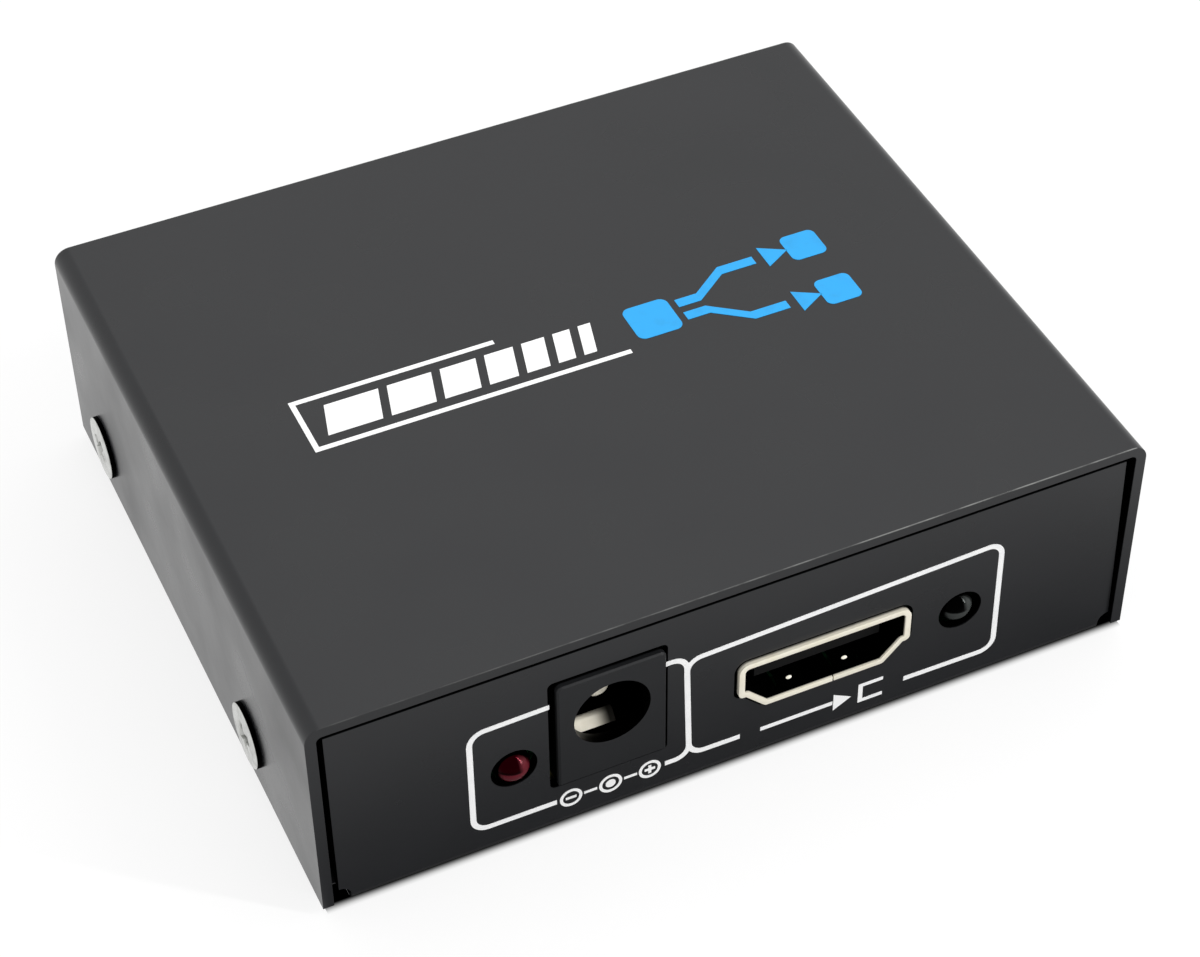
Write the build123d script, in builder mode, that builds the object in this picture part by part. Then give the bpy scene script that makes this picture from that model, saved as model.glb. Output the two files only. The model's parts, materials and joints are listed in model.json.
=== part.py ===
from build123d import *

import os

# A video splitter in a folded steel box, with one input in front and two outputs behind.
# Millimetres, +X to the right along the front, +Y to the back, +Z up.
# The origin is on the table, under the middle of the box.

# The folded box
box_width = 70.0
box_depth = 59.0
box_height = 20.75
sheet = 0.9
cover_bend = 1.4
base_bend = 1.0
cover_lift = 0.85
panel_recess = 0.4
panel_side_gap = 0.6
panel_foot_gap = 0.1
panel_top_gap = 0.75
flange_gap = 0.1
flange_rise = 7.6
flange_end_gap = 2.2
relief_width = 0.95
relief_rise = 1.05
relief_round = 0.9
overrun = 1.0

# Screws that hold the cover to the base's flanges
cover_screw_rise = 4.45
cover_screw_place_shares = (-0.492, 0.724)
cover_screw_radius = 1.5
cover_screw_length = 3.9
cover_screw_head_radius = 2.75
cover_screw_head_rim = 0.42
cover_screw_head_dome = 0.12
cover_screw_hole_gap = 0.15
collar_wall = 0.75
collar_depth = 1.2
thread_gap = 0.05

# Circuit board on riveted standoffs
board_thickness = 1.6
board_end_gap = 0.5
board_tip_gap = 0.7
board_corner = 1.0
board_hole_gap = 0.12
standoff_height = 2.65
standoff_radius = 2.5
standoff_chamfer = 0.25
rivet_radius = 2.0
rivet_gap = 0.04
board_screw_radius = 1.5
board_screw_length = 4.0
board_screw_head_radius = 2.75
board_screw_head_rim = 0.9
board_screw_head_dome = 0.9
board_screw_hole_gap = 0.1
board_screw_place_shares = ((-0.875, -0.83), (0.875, -0.83), (-0.875, 0.545), (0.875, 0.545))

# Power jack, in its own frame: its face at y = 0, the board at z = 0
jack_width = 9.0
jack_height = 11.0
jack_front_depth = 3.4
jack_depth = 14.2
jack_side_step = 0.3
jack_round = 0.5
jack_face_chamfer = 0.15
jack_axis_height = 6.45
jack_bore_radius = 3.175
jack_bore_depth = 9.3
jack_proud = 0.4
jack_cutout_side_gap = 0.45
jack_cutout_end_gap = 0.42
jack_cutout_shift = -0.17
jack_cutout_round = 0.5
jack_place_share = -0.325
pin_radius = 1.0
pin_tip_depth = 2.6
pin_tip_round = 0.4
pin_root_radius = 1.3
pin_fit = 0.02
terminal_sheet = 0.3
terminal_overhang = 0.8
terminal_fit = 0.04
pin_tail_width = 2.2
pin_tail_sheet = 0.4
pin_tail_top = 1.6

# The jack's sprung contact leaf, its leg and the switched contact over its edge
leaf_width = 3.6
leaf_offset = -0.8
leaf_reach = 2.3
leaf_apex_depth = 2.45
leaf_root_depth = 8.0
leaf_root_height = 2.75
leaf_tip_depth = 1.75
leaf_tip_drop = 0.75
leaf_apex_round = 0.5
leaf_roll_radius = 0.32
leaf_side_gap = 0.3
leaf_slot_depth = 1.0
leaf_slot_back_gap = 0.2
leaf_seat_gap = 0.06
leg_width = 2.4
leg_seat_length = 1.1
shunt_width = 1.4
shunt_depth = 3.8
shunt_reach = 0.42
shunt_inset = 0.1
shunt_gap = 0.16
shunt_slot_gap = 0.1

# Video socket, in its own frame: its mouth at y = 0, the board at z = 0
socket_width = 15.0
socket_height = 5.3
socket_floor_width = 10.35
socket_shoulder = 1.74
socket_ledge = 0.62
socket_lift = 0.83
socket_depth = 11.2
socket_top_round = 0.9
socket_side_round = 0.45
socket_proud = 0.3
socket_cutout_gap = 0.3
shell_sheet = 0.5
seam_width = 0.12
seam_offset = 0.8
shell_foot_start = 8.7
shell_leg_width = 1.2
shell_leg_depths = (3.5, 9.8)
shell_leg_overhang = 0.7
grip_width = 2.0
grip_start = 1.0
grip_length = 5.6
grip_bow = 0.45
grip_slit = 0.3
grip_offset = 2.45
grip_crest_share = 0.14
grip_end_bow_share = 0.33
tongue_width = 11.0
tongue_thickness = 1.6
tongue_rise = 1.95
tongue_recess = 1.4
insulator_start = 7.6
insulator_fit = 0.03
insulator_foot_width = 9.4
contact_count = 19
contact_pitch = 0.5
contact_width = 0.3
contact_sheet = 0.15
contact_recess = 0.6
contact_tail_gap = 0.2
contact_foot = 1.2
input_place_share = 0.22
output_place_share = 0.3585

# Light-emitting diodes, in their own frame: tip at y = 0, the board at z = 0
led_radius = 1.5
led_length = 5.3
led_flange_radius = 1.9
led_flange_thickness = 1.0
led_axis_height = 3.5
led_hole_gap = 0.42
led_lead_width = 0.5
led_lead_pitch = 2.54
led_lead_run = 1.6
led_lead_bend = 0.6
led_lead_overhang = 0.9
front_led_place_shares = (-0.564, 0.582)
front_led_prouds = (0.74, 0.4)
rear_led_place_share = 0.727
rear_led_proud = 0.74

# Chips and small parts on the board
splitter_chip_width = 10.0
splitter_chip_height = 1.4
splitter_chip_place_shares = (0.13, 0.0)
splitter_lead_count = 16
splitter_lead_pitch = 0.5
splitter_lead_width = 0.22
memory_chip_width = 4.9
memory_chip_depth = 3.9
memory_chip_height = 1.5
memory_chip_place_shares = (-0.28, 0.33)
memory_lead_count = 4
memory_lead_pitch = 1.27
memory_lead_width = 0.42
chip_standing = 0.1
chip_edge_chamfer = 0.2
chip_lead_sheet = 0.15
chip_lead_reach = 1.0
chip_lead_shoulder = 0.35
regulator_width = 6.5
regulator_depth = 3.5
regulator_height = 1.6
regulator_place_shares = ((-0.79, -0.25), (-0.79, 0.11))
regulator_lead_pitch = 2.3
regulator_lead_width = 0.7
regulator_tab_width = 3.0
regulator_lead_reach = 1.75
inductor_width = 5.0
inductor_height = 2.0
inductor_round = 1.2
inductor_winding_radius = 1.9
inductor_winding_groove = 0.25
inductor_place_shares = (-0.53, -0.22)
can_radius = 2.5
can_height = 4.6
can_round = 0.4
can_groove = 0.2
can_groove_rise = 0.9
can_base_width = 5.3
can_base_height = 0.8
can_base_chamfer = 1.0
can_place_shares = ((-0.66, -0.53), (-0.51, 0.08))
crystal_length = 11.05
crystal_width = 4.65
crystal_height = 3.5
crystal_round = 0.5
crystal_brim = 0.3
crystal_brim_height = 0.5
crystal_place_shares = (0.6, -0.14)
diode_length = 4.3
diode_width = 2.6
diode_height = 2.2
diode_chamfer = 0.3
diode_tab_reach = 0.45
diode_tab_width = 1.4
diode_tab_rise = 1.0
diode_place_shares = (-0.36, -0.42)
fuse_length = 4.5
fuse_width = 3.2
fuse_height = 0.8
fuse_round = 0.25
fuse_place_shares = (-0.12, -0.42)
small_length = 1.6
small_width = 0.8
ceramic_height = 0.8
resistor_height = 0.45
ceramic_ring_gap = 1.5
resistor_pitch = 2.6
resistor_row_counts = (7, 5)
resistor_row_place_shares = ((0.3, 0.415), (0.26, -0.38))
regulator_ceramic_gap = 1.3
array_length = 2.5
array_width = 1.2
array_height = 0.6
array_place_shares = ((0.13, -0.53), (0.36, -0.53), (0.24, 0.53), (0.5, 0.53), (-0.24, 0.53), (-0.5, 0.53))
transistor_length = 2.9
transistor_width = 1.3
transistor_height = 0.95
transistor_lead_reach = 0.55
transistor_lead_width = 0.42
transistor_lead_pitch = 1.9
transistor_place_shares = ((0.72, 0.24), (0.72, -0.5), (-0.72, 0.38))

os.makedirs("parts", exist_ok=True)

# Planes and levels worked out from the sizes above
cover_half = box_width / 2
cover_middle = cover_half - sheet / 2
half_depth = box_depth / 2
panel_half = cover_half - sheet - panel_side_gap
panel_foot = cover_half - sheet - panel_foot_gap
panel_face = half_depth - panel_recess
panel_middle = panel_face - sheet / 2
panel_back = panel_face - sheet
panel_top = box_height - sheet - panel_top_gap
flange_face = cover_half - sheet - flange_gap
flange_half = panel_face - flange_end_gap
cover_screw_height = cover_lift + cover_screw_rise
board_bottom = sheet + standoff_height
board_top = board_bottom + board_thickness
board_half = cover_half - cover_screw_length - board_tip_gap
board_half_depth = panel_back - board_end_gap

# Where each connector and light stands: its own frame, moved to the front or turned to the back
jack_place = Location((jack_place_share * panel_half, -panel_face - jack_proud, board_top))
socket_places = {
    "video_in": Location((input_place_share * panel_half, -panel_face - socket_proud, board_top)),
    "video_out_1": Location(
        (output_place_share * panel_half, panel_face + socket_proud, board_top), (0, 0, 180)
    ),
    "video_out_2": Location(
        (-output_place_share * panel_half, panel_face + socket_proud, board_top), (0, 0, 180)
    ),
}
led_places = {
    "power_led": Location(
        (front_led_place_shares[0] * panel_half, -panel_face - front_led_prouds[0], board_top)
    ),
    "input_led": Location(
        (front_led_place_shares[1] * panel_half, -panel_face - front_led_prouds[1], board_top)
    ),
    "output_led_1": Location(
        (rear_led_place_share * panel_half, panel_face + rear_led_proud, board_top), (0, 0, 180)
    ),
    "output_led_2": Location(
        (-rear_led_place_share * panel_half, panel_face + rear_led_proud, board_top), (0, 0, 180)
    ),
}
cover_screw_points = [(share * half_depth, cover_screw_height) for share in cover_screw_place_shares]


def board_places(shares):
    """Give places on top of the board for pairs of shares of its half width and half depth."""
    return [Location((x * board_half, y * board_half_depth, board_top)) for x, y in shares]


def turned_screw(shank_radius, shank_length, head_radius, rim, dome):
    """Turn a screw about Z: its head stands on z = 0 and its shank points down."""
    with BuildPart() as screw:
        with BuildSketch(Plane.XZ):
            with BuildLine():
                Polyline(
                    (0, rim + dome), (0, -shank_length), (shank_radius, -shank_length),
                    (shank_radius, 0), (head_radius, 0), (head_radius, rim),
                )
                TangentArc((0, rim + dome), (head_radius, rim), tangent=(1, 0))
            make_face()
        revolve(axis=Axis.Z)
    return screw.part


def bent_lead(reach, rise, shoulder, width, thickness):
    """Fold a gull-wing lead that leaves a chip at x = 0 and height rise, and stands on z = 0."""
    with BuildPart() as lead:
        with BuildSketch(Plane.XZ):
            with BuildLine():
                Polyline(
                    (0, rise), (shoulder, rise), (shoulder + thickness, thickness / 2),
                    (reach, thickness / 2),
                )
            trace(line_width=thickness)
        extrude(amount=width / 2, both=True)
    return lead.part


# Cover: one sheet folded over the top and down both sides
with BuildPart() as top_cover:
    with BuildSketch(Plane.XZ.offset(-half_depth)):
        with BuildLine():
            FilletPolyline(
                (-cover_middle, cover_lift),
                (-cover_middle, box_height - sheet / 2),
                (cover_middle, box_height - sheet / 2),
                (cover_middle, cover_lift),
                radius=cover_bend - sheet / 2,
            )
        trace(line_width=sheet)
    extrude(amount=box_depth)
    with BuildSketch(Plane.YZ):
        with Locations(*cover_screw_points):
            Circle(cover_screw_radius + cover_screw_hole_gap)
    extrude(amount=cover_half + overrun, both=True, mode=Mode.SUBTRACT)
top_cover.part.label = "top_cover"
export_step(top_cover.part, "parts/top_cover.step")

# Mouth of a video socket, seen from the front: wide above, narrow below, with a ledge each side
with BuildSketch() as socket_outline:
    with BuildLine():
        Polyline(
            (-socket_width / 2, socket_height),
            (socket_width / 2, socket_height),
            (socket_width / 2, socket_shoulder),
            (socket_width / 2 - socket_ledge, socket_shoulder),
            (socket_floor_width / 2, 0),
            (-socket_floor_width / 2, 0),
            (-socket_width / 2 + socket_ledge, socket_shoulder),
            (-socket_width / 2, socket_shoulder),
            close=True,
        )
    make_face()
    fillet(socket_outline.vertices().group_by(Axis.Y)[-1], radius=socket_top_round)
    shoulder_corners = socket_outline.vertices().group_by(Axis.Y)[1].sort_by(Axis.X)
    fillet([shoulder_corners[0], shoulder_corners[-1]], radius=socket_side_round)
    fillet(socket_outline.vertices().group_by(Axis.Y)[0], radius=socket_side_round)

# Base: floor and two end panels folded from one sheet, with a flange up each side
with BuildPart() as base_chassis:
    with BuildSketch(Plane.YZ):
        with BuildLine():
            FilletPolyline(
                (-panel_middle, panel_top),
                (-panel_middle, sheet / 2),
                (panel_middle, sheet / 2),
                (panel_middle, panel_top),
                radius=base_bend - sheet / 2,
            )
        trace(line_width=sheet)
    extrude(amount=panel_half, both=True)

    # The front panel widens to its foot on the right
    with BuildSketch(Plane.XZ.offset(panel_back)):
        with BuildLine():
            Polyline(
                (0, base_bend), (panel_foot, base_bend), (panel_half, panel_top), (0, panel_top), close=True
            )
        make_face()
    extrude(amount=sheet)
    with BuildSketch(Plane.XZ):
        with BuildLine():
            FilletPolyline(
                (-flange_face + sheet / 2, sheet + flange_rise),
                (-flange_face + sheet / 2, sheet / 2),
                (flange_face - sheet / 2, sheet / 2),
                (flange_face - sheet / 2, sheet + flange_rise),
                radius=base_bend - sheet / 2,
            )
        trace(line_width=sheet)
    extrude(amount=flange_half, both=True)

    # Rounded reliefs where the folds meet at the four corners
    for end, right_foot in ((-1, panel_half), (1, panel_foot)):
        with BuildSketch(Plane.XZ.offset(end * flange_half)):
            with Locations((-panel_half, 0), (right_foot, 0)):
                RectangleRounded(2 * relief_width, 2 * (cover_lift + relief_rise), relief_round)
        extrude(amount=end * (flange_end_gap + overrun), mode=Mode.SUBTRACT)

    # Collars drawn inwards round the flanges' tapped holes
    for side in (-1, 1):
        with BuildSketch(Plane.YZ.offset(side * (flange_face - sheet))):
            with Locations(*cover_screw_points):
                Circle(cover_screw_radius + thread_gap + collar_wall)
        extrude(amount=-side * collar_depth)
    with BuildSketch(Plane.YZ):
        with Locations(*cover_screw_points):
            Circle(cover_screw_radius + thread_gap)
    extrude(amount=cover_half, both=True, mode=Mode.SUBTRACT)

    # Cut-outs of the front panel
    with BuildSketch(Plane.XZ.offset(panel_back - overrun)):
        with Locations((input_place_share * panel_half, board_top + socket_lift)):
            add(socket_outline.sketch)
        offset(amount=socket_cutout_gap)
    extrude(amount=sheet + 2 * overrun, mode=Mode.SUBTRACT)
    with BuildSketch(Plane.XZ.offset(panel_back - overrun)):
        with Locations((jack_place_share * panel_half + jack_cutout_shift, board_top + jack_height / 2)):
            RectangleRounded(
                jack_width + 2 * jack_cutout_side_gap, jack_height + 2 * jack_cutout_end_gap,
                jack_cutout_round,
            )
        with Locations(
            *[(share * panel_half, board_top + led_axis_height) for share in front_led_place_shares]
        ):
            Circle(led_radius + led_hole_gap)
    extrude(amount=sheet + 2 * overrun, mode=Mode.SUBTRACT)

    # Cut-outs of the rear panel
    for side in (-1, 1):
        with BuildSketch(Plane.XZ.offset(-panel_face - overrun)):
            with Locations((side * output_place_share * panel_half, board_top + socket_lift)):
                add(socket_outline.sketch)
            offset(amount=socket_cutout_gap)
        extrude(amount=sheet + 2 * overrun, mode=Mode.SUBTRACT)
        with BuildSketch(Plane.XZ.offset(-panel_face - overrun)):
            with Locations((side * rear_led_place_share * panel_half, board_top + led_axis_height)):
                Circle(led_radius + led_hole_gap)
        extrude(amount=sheet + 2 * overrun, mode=Mode.SUBTRACT)

    # Holes that the standoffs are riveted into
    with BuildSketch():
        with Locations(
            *[(x * board_half, y * board_half_depth) for x, y in board_screw_place_shares]
        ):
            Circle(rivet_radius + rivet_gap)
    extrude(amount=sheet, mode=Mode.SUBTRACT)
base_chassis.part.label = "base_chassis"
export_step(base_chassis.part, "parts/base_chassis.step")

# Cover screws, two in each side wall
cover_screw = turned_screw(
    cover_screw_radius, cover_screw_length, cover_screw_head_radius,
    cover_screw_head_rim, cover_screw_head_dome,
)
with BuildPart() as cover_screws:
    for side in (-1, 1):
        screw_planes = [
            Plane((side * cover_half, y, z), x_dir=(0, 1, 0), z_dir=(side, 0, 0))
            for y, z in cover_screw_points
        ]
        with Locations(*screw_planes):
            add(cover_screw)
cover_screws.part.label = "cover_screws"
export_step(cover_screws.part, "parts/cover_screws.step")

# Standoffs: a round pillar with a rivet end that fills its hole in the base
with BuildPart() as board_standoffs:
    with Locations(*[(x * board_half, y * board_half_depth, 0) for x, y in board_screw_place_shares]):
        Cylinder(rivet_radius, sheet, align=(Align.CENTER, Align.CENTER, Align.MIN))
    with Locations(*[(x * board_half, y * board_half_depth, sheet) for x, y in board_screw_place_shares]):
        Cylinder(standoff_radius, standoff_height, align=(Align.CENTER, Align.CENTER, Align.MIN))
    chamfer(
        board_standoffs.edges().filter_by(GeomType.CIRCLE).group_by(Axis.Z)[-1], length=standoff_chamfer
    )
    with Locations(*[(x * board_half, y * board_half_depth, 0) for x, y in board_screw_place_shares]):
        Cylinder(
            board_screw_radius + thread_gap, 2 * board_top, mode=Mode.SUBTRACT,
        )
board_standoffs.part.label = "board_standoffs"
export_step(board_standoffs.part, "parts/board_standoffs.step")

# Screws that hold the board on its standoffs
board_screw = turned_screw(
    board_screw_radius, board_screw_length, board_screw_head_radius,
    board_screw_head_rim, board_screw_head_dome,
)
with BuildPart() as board_screws:
    with Locations(*board_places(board_screw_place_shares)):
        add(board_screw)
board_screws.part.label = "board_screws"
export_step(board_screws.part, "parts/board_screws.step")

# Slots and holes that a connector or a light needs in the board, as (x, y, width, depth) in its frame
socket_legs = [
    (side * (socket_width - shell_sheet) / 2, depth, shell_sheet, shell_leg_width)
    for side in (-1, 1)
    for depth in shell_leg_depths
]
leg_depth = leaf_root_depth + leaf_roll_radius + leaf_seat_gap + terminal_sheet / 2
shunt_outer = jack_width / 2 - jack_side_step - shunt_inset
jack_legs = [
    (0, jack_depth + pin_tail_sheet / 2, pin_tail_width, pin_tail_sheet),
    (leaf_offset, leg_depth, leg_width, terminal_sheet),
    (-shunt_outer + terminal_sheet / 2, shunt_depth + shunt_width / 2, terminal_sheet, shunt_width),
]
led_lead_depth = led_length + led_lead_run
led_legs = [
    (side * led_lead_pitch / 2, led_lead_depth, led_lead_width, led_lead_width) for side in (-1, 1)
]

# Circuit board
with BuildPart() as circuit_board:
    with BuildSketch(Plane.XY.offset(board_bottom)):
        RectangleRounded(2 * board_half, 2 * board_half_depth, board_corner)
        with Locations(*[(x * board_half, y * board_half_depth) for x, y in board_screw_place_shares]):
            Circle(board_screw_radius + board_screw_hole_gap, mode=Mode.SUBTRACT)
    extrude(amount=board_thickness)
    leg_holes = [(jack_place, leg) for leg in jack_legs]
    leg_holes += [(place, leg) for place in socket_places.values() for leg in socket_legs]
    leg_holes += [(place, leg) for place in led_places.values() for leg in led_legs]
    for place, (x, y, width, depth) in leg_holes:
        with Locations(place * Location((x, y, 0))):
            Box(
                width + 2 * board_hole_gap, depth + 2 * board_hole_gap, 2 * board_thickness + overrun,
                mode=Mode.SUBTRACT,
            )
circuit_board.part.label = "circuit_board"
export_step(circuit_board.part, "parts/circuit_board.step")

# Leaf of the jack: a strip that rises from its rolled root to a crest in the bore and dips to its tip
leaf_crest_height = jack_axis_height - leaf_reach - terminal_sheet / 2
leaf_tip_height = leaf_crest_height - leaf_tip_drop
with BuildPart() as jack_leaf_form:
    with BuildSketch(Plane.YZ.offset(leaf_offset)):
        with BuildLine():
            FilletPolyline(
                (leaf_root_depth, leaf_root_height),
                (leaf_apex_depth, leaf_crest_height),
                (leaf_tip_depth, leaf_tip_height),
                radius=leaf_apex_round,
            )
        trace(line_width=terminal_sheet)
        with Locations((leaf_root_depth, leaf_root_height)):
            Circle(leaf_roll_radius)
    extrude(amount=leaf_width / 2, both=True)
with BuildPart() as jack_contact_leaf:
    with Locations(jack_place):
        add(jack_leaf_form.part)
jack_contact_leaf.part.label = "jack_contact_leaf"
export_step(jack_contact_leaf.part, "parts/jack_contact_leaf.step")

# Leg under the leaf's root: a seat folded over a tail that goes through the board
leg_seat_top = leaf_root_height - leaf_roll_radius - leaf_seat_gap
leg_end = -board_thickness - terminal_overhang
with BuildPart() as jack_leg_form:
    with BuildSketch(Plane.YZ.offset(leaf_offset)):
        with BuildLine():
            Polyline(
                (leg_depth - leg_seat_length, leg_seat_top - terminal_sheet / 2),
                (leg_depth, leg_seat_top - terminal_sheet / 2),
                (leg_depth, leg_end),
            )
        trace(line_width=terminal_sheet)
    extrude(amount=leg_width / 2, both=True)
with BuildPart() as jack_sleeve_terminal:
    with Locations(jack_place):
        add(jack_leg_form.part)
jack_sleeve_terminal.part.label = "jack_sleeve_terminal"
export_step(jack_sleeve_terminal.part, "parts/jack_sleeve_terminal.step")

# Switched contact: a finger over the leaf's outer edge, folded down to a tail
leaf_slope = (leaf_crest_height - leaf_root_height) / (leaf_root_depth - leaf_apex_depth)
leaf_top_at_shunt = leaf_crest_height - leaf_slope * (shunt_depth - leaf_apex_depth) + terminal_sheet / 2
shunt_bottom = leaf_top_at_shunt + shunt_gap
shunt_inner = leaf_width / 2 - leaf_offset - shunt_reach
with BuildPart() as jack_shunt_form:
    with BuildSketch(Plane.XZ.offset(-shunt_depth - shunt_width)):
        with BuildLine():
            Polyline(
                (-shunt_inner, shunt_bottom + terminal_sheet / 2),
                (-shunt_outer + terminal_sheet / 2, shunt_bottom + terminal_sheet / 2),
                (-shunt_outer + terminal_sheet / 2, leg_end),
            )
        trace(line_width=terminal_sheet)
    extrude(amount=shunt_width)
with BuildPart() as jack_shunt_terminal:
    with Locations(jack_place):
        add(jack_shunt_form.part)
jack_shunt_terminal.part.label = "jack_shunt_terminal"
export_step(jack_shunt_terminal.part, "parts/jack_shunt_terminal.step")

# Centre pin with a rounded tip, and its tail down the back of the housing
with BuildPart() as jack_pin_form:
    with BuildSketch(Plane.XZ.offset(-pin_tip_depth)):
        with Locations((0, jack_axis_height)):
            Circle(pin_radius)
    extrude(amount=-(jack_bore_depth - pin_tip_depth))
    fillet(jack_pin_form.edges().group_by(Axis.Y)[0], radius=pin_tip_round)
    with BuildSketch(Plane.XZ.offset(-jack_bore_depth)):
        with Locations((0, jack_axis_height)):
            Circle(pin_root_radius)
    extrude(amount=-(jack_depth - jack_bore_depth))
    with BuildSketch(Plane.XZ.offset(-jack_depth)):
        with Locations((0, leg_end)):
            Rectangle(
                pin_tail_width, jack_axis_height + pin_tail_top - leg_end, align=(Align.CENTER, Align.MIN)
            )
    extrude(amount=-pin_tail_sheet)
with BuildPart() as jack_centre_pin:
    with Locations(jack_place):
        add(jack_pin_form.part)
jack_centre_pin.part.label = "jack_centre_pin"
export_step(jack_centre_pin.part, "parts/jack_centre_pin.step")

# Housing: a square front and a round-backed barrel, hollowed for the plug and the three contacts
rear_half = jack_width / 2 - jack_side_step
leaf_slot_floor = leg_seat_top - terminal_sheet
leaf_slot_back = leg_depth + terminal_sheet / 2 + leaf_slot_back_gap
with BuildPart() as jack_housing_form:
    with BuildSketch(Plane.XZ):
        Rectangle(jack_width, jack_height, align=(Align.CENTER, Align.MIN))
    extrude(amount=-jack_front_depth)
    fillet(
        jack_housing_form.edges().filter_by(Axis.Y).group_by(Axis.Z)[-1], radius=jack_round
    )
    chamfer(jack_housing_form.faces().sort_by(Axis.Y)[0].edges(), length=jack_face_chamfer)
    with BuildSketch(Plane.XZ.offset(-jack_front_depth)):
        with Locations((0, jack_axis_height)):
            Circle(rear_half)
        Rectangle(2 * rear_half, jack_axis_height, align=(Align.CENTER, Align.MIN))
    extrude(amount=-(jack_depth - jack_front_depth))
    with BuildSketch(Plane.XZ.offset(overrun)):
        with Locations((0, jack_axis_height)):
            Circle(jack_bore_radius)
    extrude(amount=-(jack_bore_depth + overrun), mode=Mode.SUBTRACT)
    with BuildSketch(Plane.XZ):
        with Locations((0, jack_axis_height)):
            Circle(pin_root_radius + pin_fit)
    extrude(amount=-(jack_depth + overrun), mode=Mode.SUBTRACT)

    # Slot below the bore for the leaf, and the slit for its leg
    with BuildSketch(Plane.XY.offset(leaf_slot_floor)):
        with Locations((leaf_offset, leaf_slot_depth)):
            Rectangle(
                leaf_width + 2 * leaf_side_gap, leaf_slot_back - leaf_slot_depth,
                align=(Align.CENTER, Align.MIN),
            )
    extrude(amount=jack_axis_height - pin_radius - leaf_slot_floor - leaf_roll_radius, mode=Mode.SUBTRACT)
    with BuildSketch():
        with Locations((leaf_offset, leg_depth)):
            Rectangle(leg_width + 2 * terminal_fit, terminal_sheet + 2 * terminal_fit)
    extrude(amount=leaf_slot_floor, mode=Mode.SUBTRACT)

    # Channel in the side wall for the switched contact
    with BuildSketch(Plane.XZ.offset(-shunt_depth + shunt_slot_gap)):
        with Locations((-rear_half - overrun, 0)):
            Rectangle(
                shunt_inset + terminal_sheet + shunt_slot_gap + overrun,
                shunt_bottom + terminal_sheet + shunt_slot_gap,
                align=Align.MIN,
            )
        with Locations((-rear_half - overrun, shunt_bottom - shunt_slot_gap)):
            Rectangle(
                rear_half + overrun - shunt_inner, terminal_sheet + 2 * shunt_slot_gap, align=Align.MIN
            )
    extrude(amount=-(shunt_width + 2 * shunt_slot_gap), mode=Mode.SUBTRACT)
with BuildPart() as jack_housing:
    with Locations(jack_place):
        add(jack_housing_form.part)
jack_housing.part.label = "jack_housing"
export_step(jack_housing.part, "parts/jack_housing.step")

# Shell of a video socket: a folded tube with a seam in its floor, sprung grips and legs
with BuildPart() as shell_form:
    with BuildSketch(Plane.XZ):
        with Locations((0, socket_lift)):
            add(socket_outline.sketch)
        offset(amount=-shell_sheet, mode=Mode.SUBTRACT)
    extrude(amount=-socket_depth)
    with BuildSketch(Plane.XY):
        with Locations((0, shell_foot_start)):
            Rectangle(socket_width, socket_depth, align=(Align.CENTER, Align.MIN))
        with Locations((seam_offset, 0)):
            Rectangle(seam_width, socket_depth, align=(Align.CENTER, Align.MIN))
    extrude(amount=socket_lift + shell_sheet + seam_width, mode=Mode.SUBTRACT)
    for level, inward in ((socket_lift, 1), (socket_lift + socket_height - shell_sheet, -1)):
        with BuildSketch(Plane.XY.offset(level)):
            with GridLocations(2 * grip_offset, 0, 2, 1):
                with Locations((0, grip_start)):
                    Rectangle(
                        grip_width + 2 * grip_slit, grip_length + grip_slit,
                        align=(Align.CENTER, Align.MIN),
                    )
        extrude(amount=shell_sheet, mode=Mode.SUBTRACT)
        middle = level + shell_sheet / 2
        for side in (-1, 1):
            with BuildSketch(Plane.YZ.offset(side * grip_offset)):
                with BuildLine():
                    Polyline(
                        (grip_start - grip_slit, middle),
                        (grip_start + grip_slit, middle),
                        (grip_start + grip_crest_share * grip_length, middle + inward * grip_bow),
                        (grip_start + grip_length, middle + inward * grip_end_bow_share * grip_bow),
                    )
                trace(line_width=shell_sheet)
            extrude(amount=grip_width / 2, both=True)
    leg_top = socket_lift + socket_shoulder + socket_side_round
    for x, y, width, depth in socket_legs:
        with Locations((x, y, leg_top)):
            Box(
                width, depth, leg_top + board_thickness + shell_leg_overhang,
                align=(Align.CENTER, Align.CENTER, Align.MAX),
            )

# Contacts: ten along the tongue's roof and nine below, each folded down behind to a foot on the board
tail_depth = socket_depth + contact_tail_gap + contact_sheet / 2
tongue_floor = socket_lift + tongue_rise
contact_levels = (
    tongue_floor + tongue_thickness - contact_sheet / 2,
    tongue_floor + contact_sheet / 2,
)
contact_forms = []
for level in contact_levels:
    with BuildPart() as contact_form:
        with BuildSketch(Plane.YZ):
            with BuildLine():
                Polyline(
                    (tongue_recess + contact_recess, level),
                    (tail_depth, level),
                    (tail_depth, contact_sheet / 2),
                    (tail_depth + contact_foot, contact_sheet / 2),
                )
            trace(line_width=contact_sheet)
        extrude(amount=contact_width / 2, both=True)
    contact_forms.append(contact_form.part)
first_contact = -contact_pitch * (contact_count - 1) / 2
with BuildPart() as contacts_form:
    for row in (0, 1):
        row_places = [
            (first_contact + contact_pitch * index, 0, 0) for index in range(row, contact_count, 2)
        ]
        with Locations(*row_places):
            add(contact_forms[row])

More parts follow.
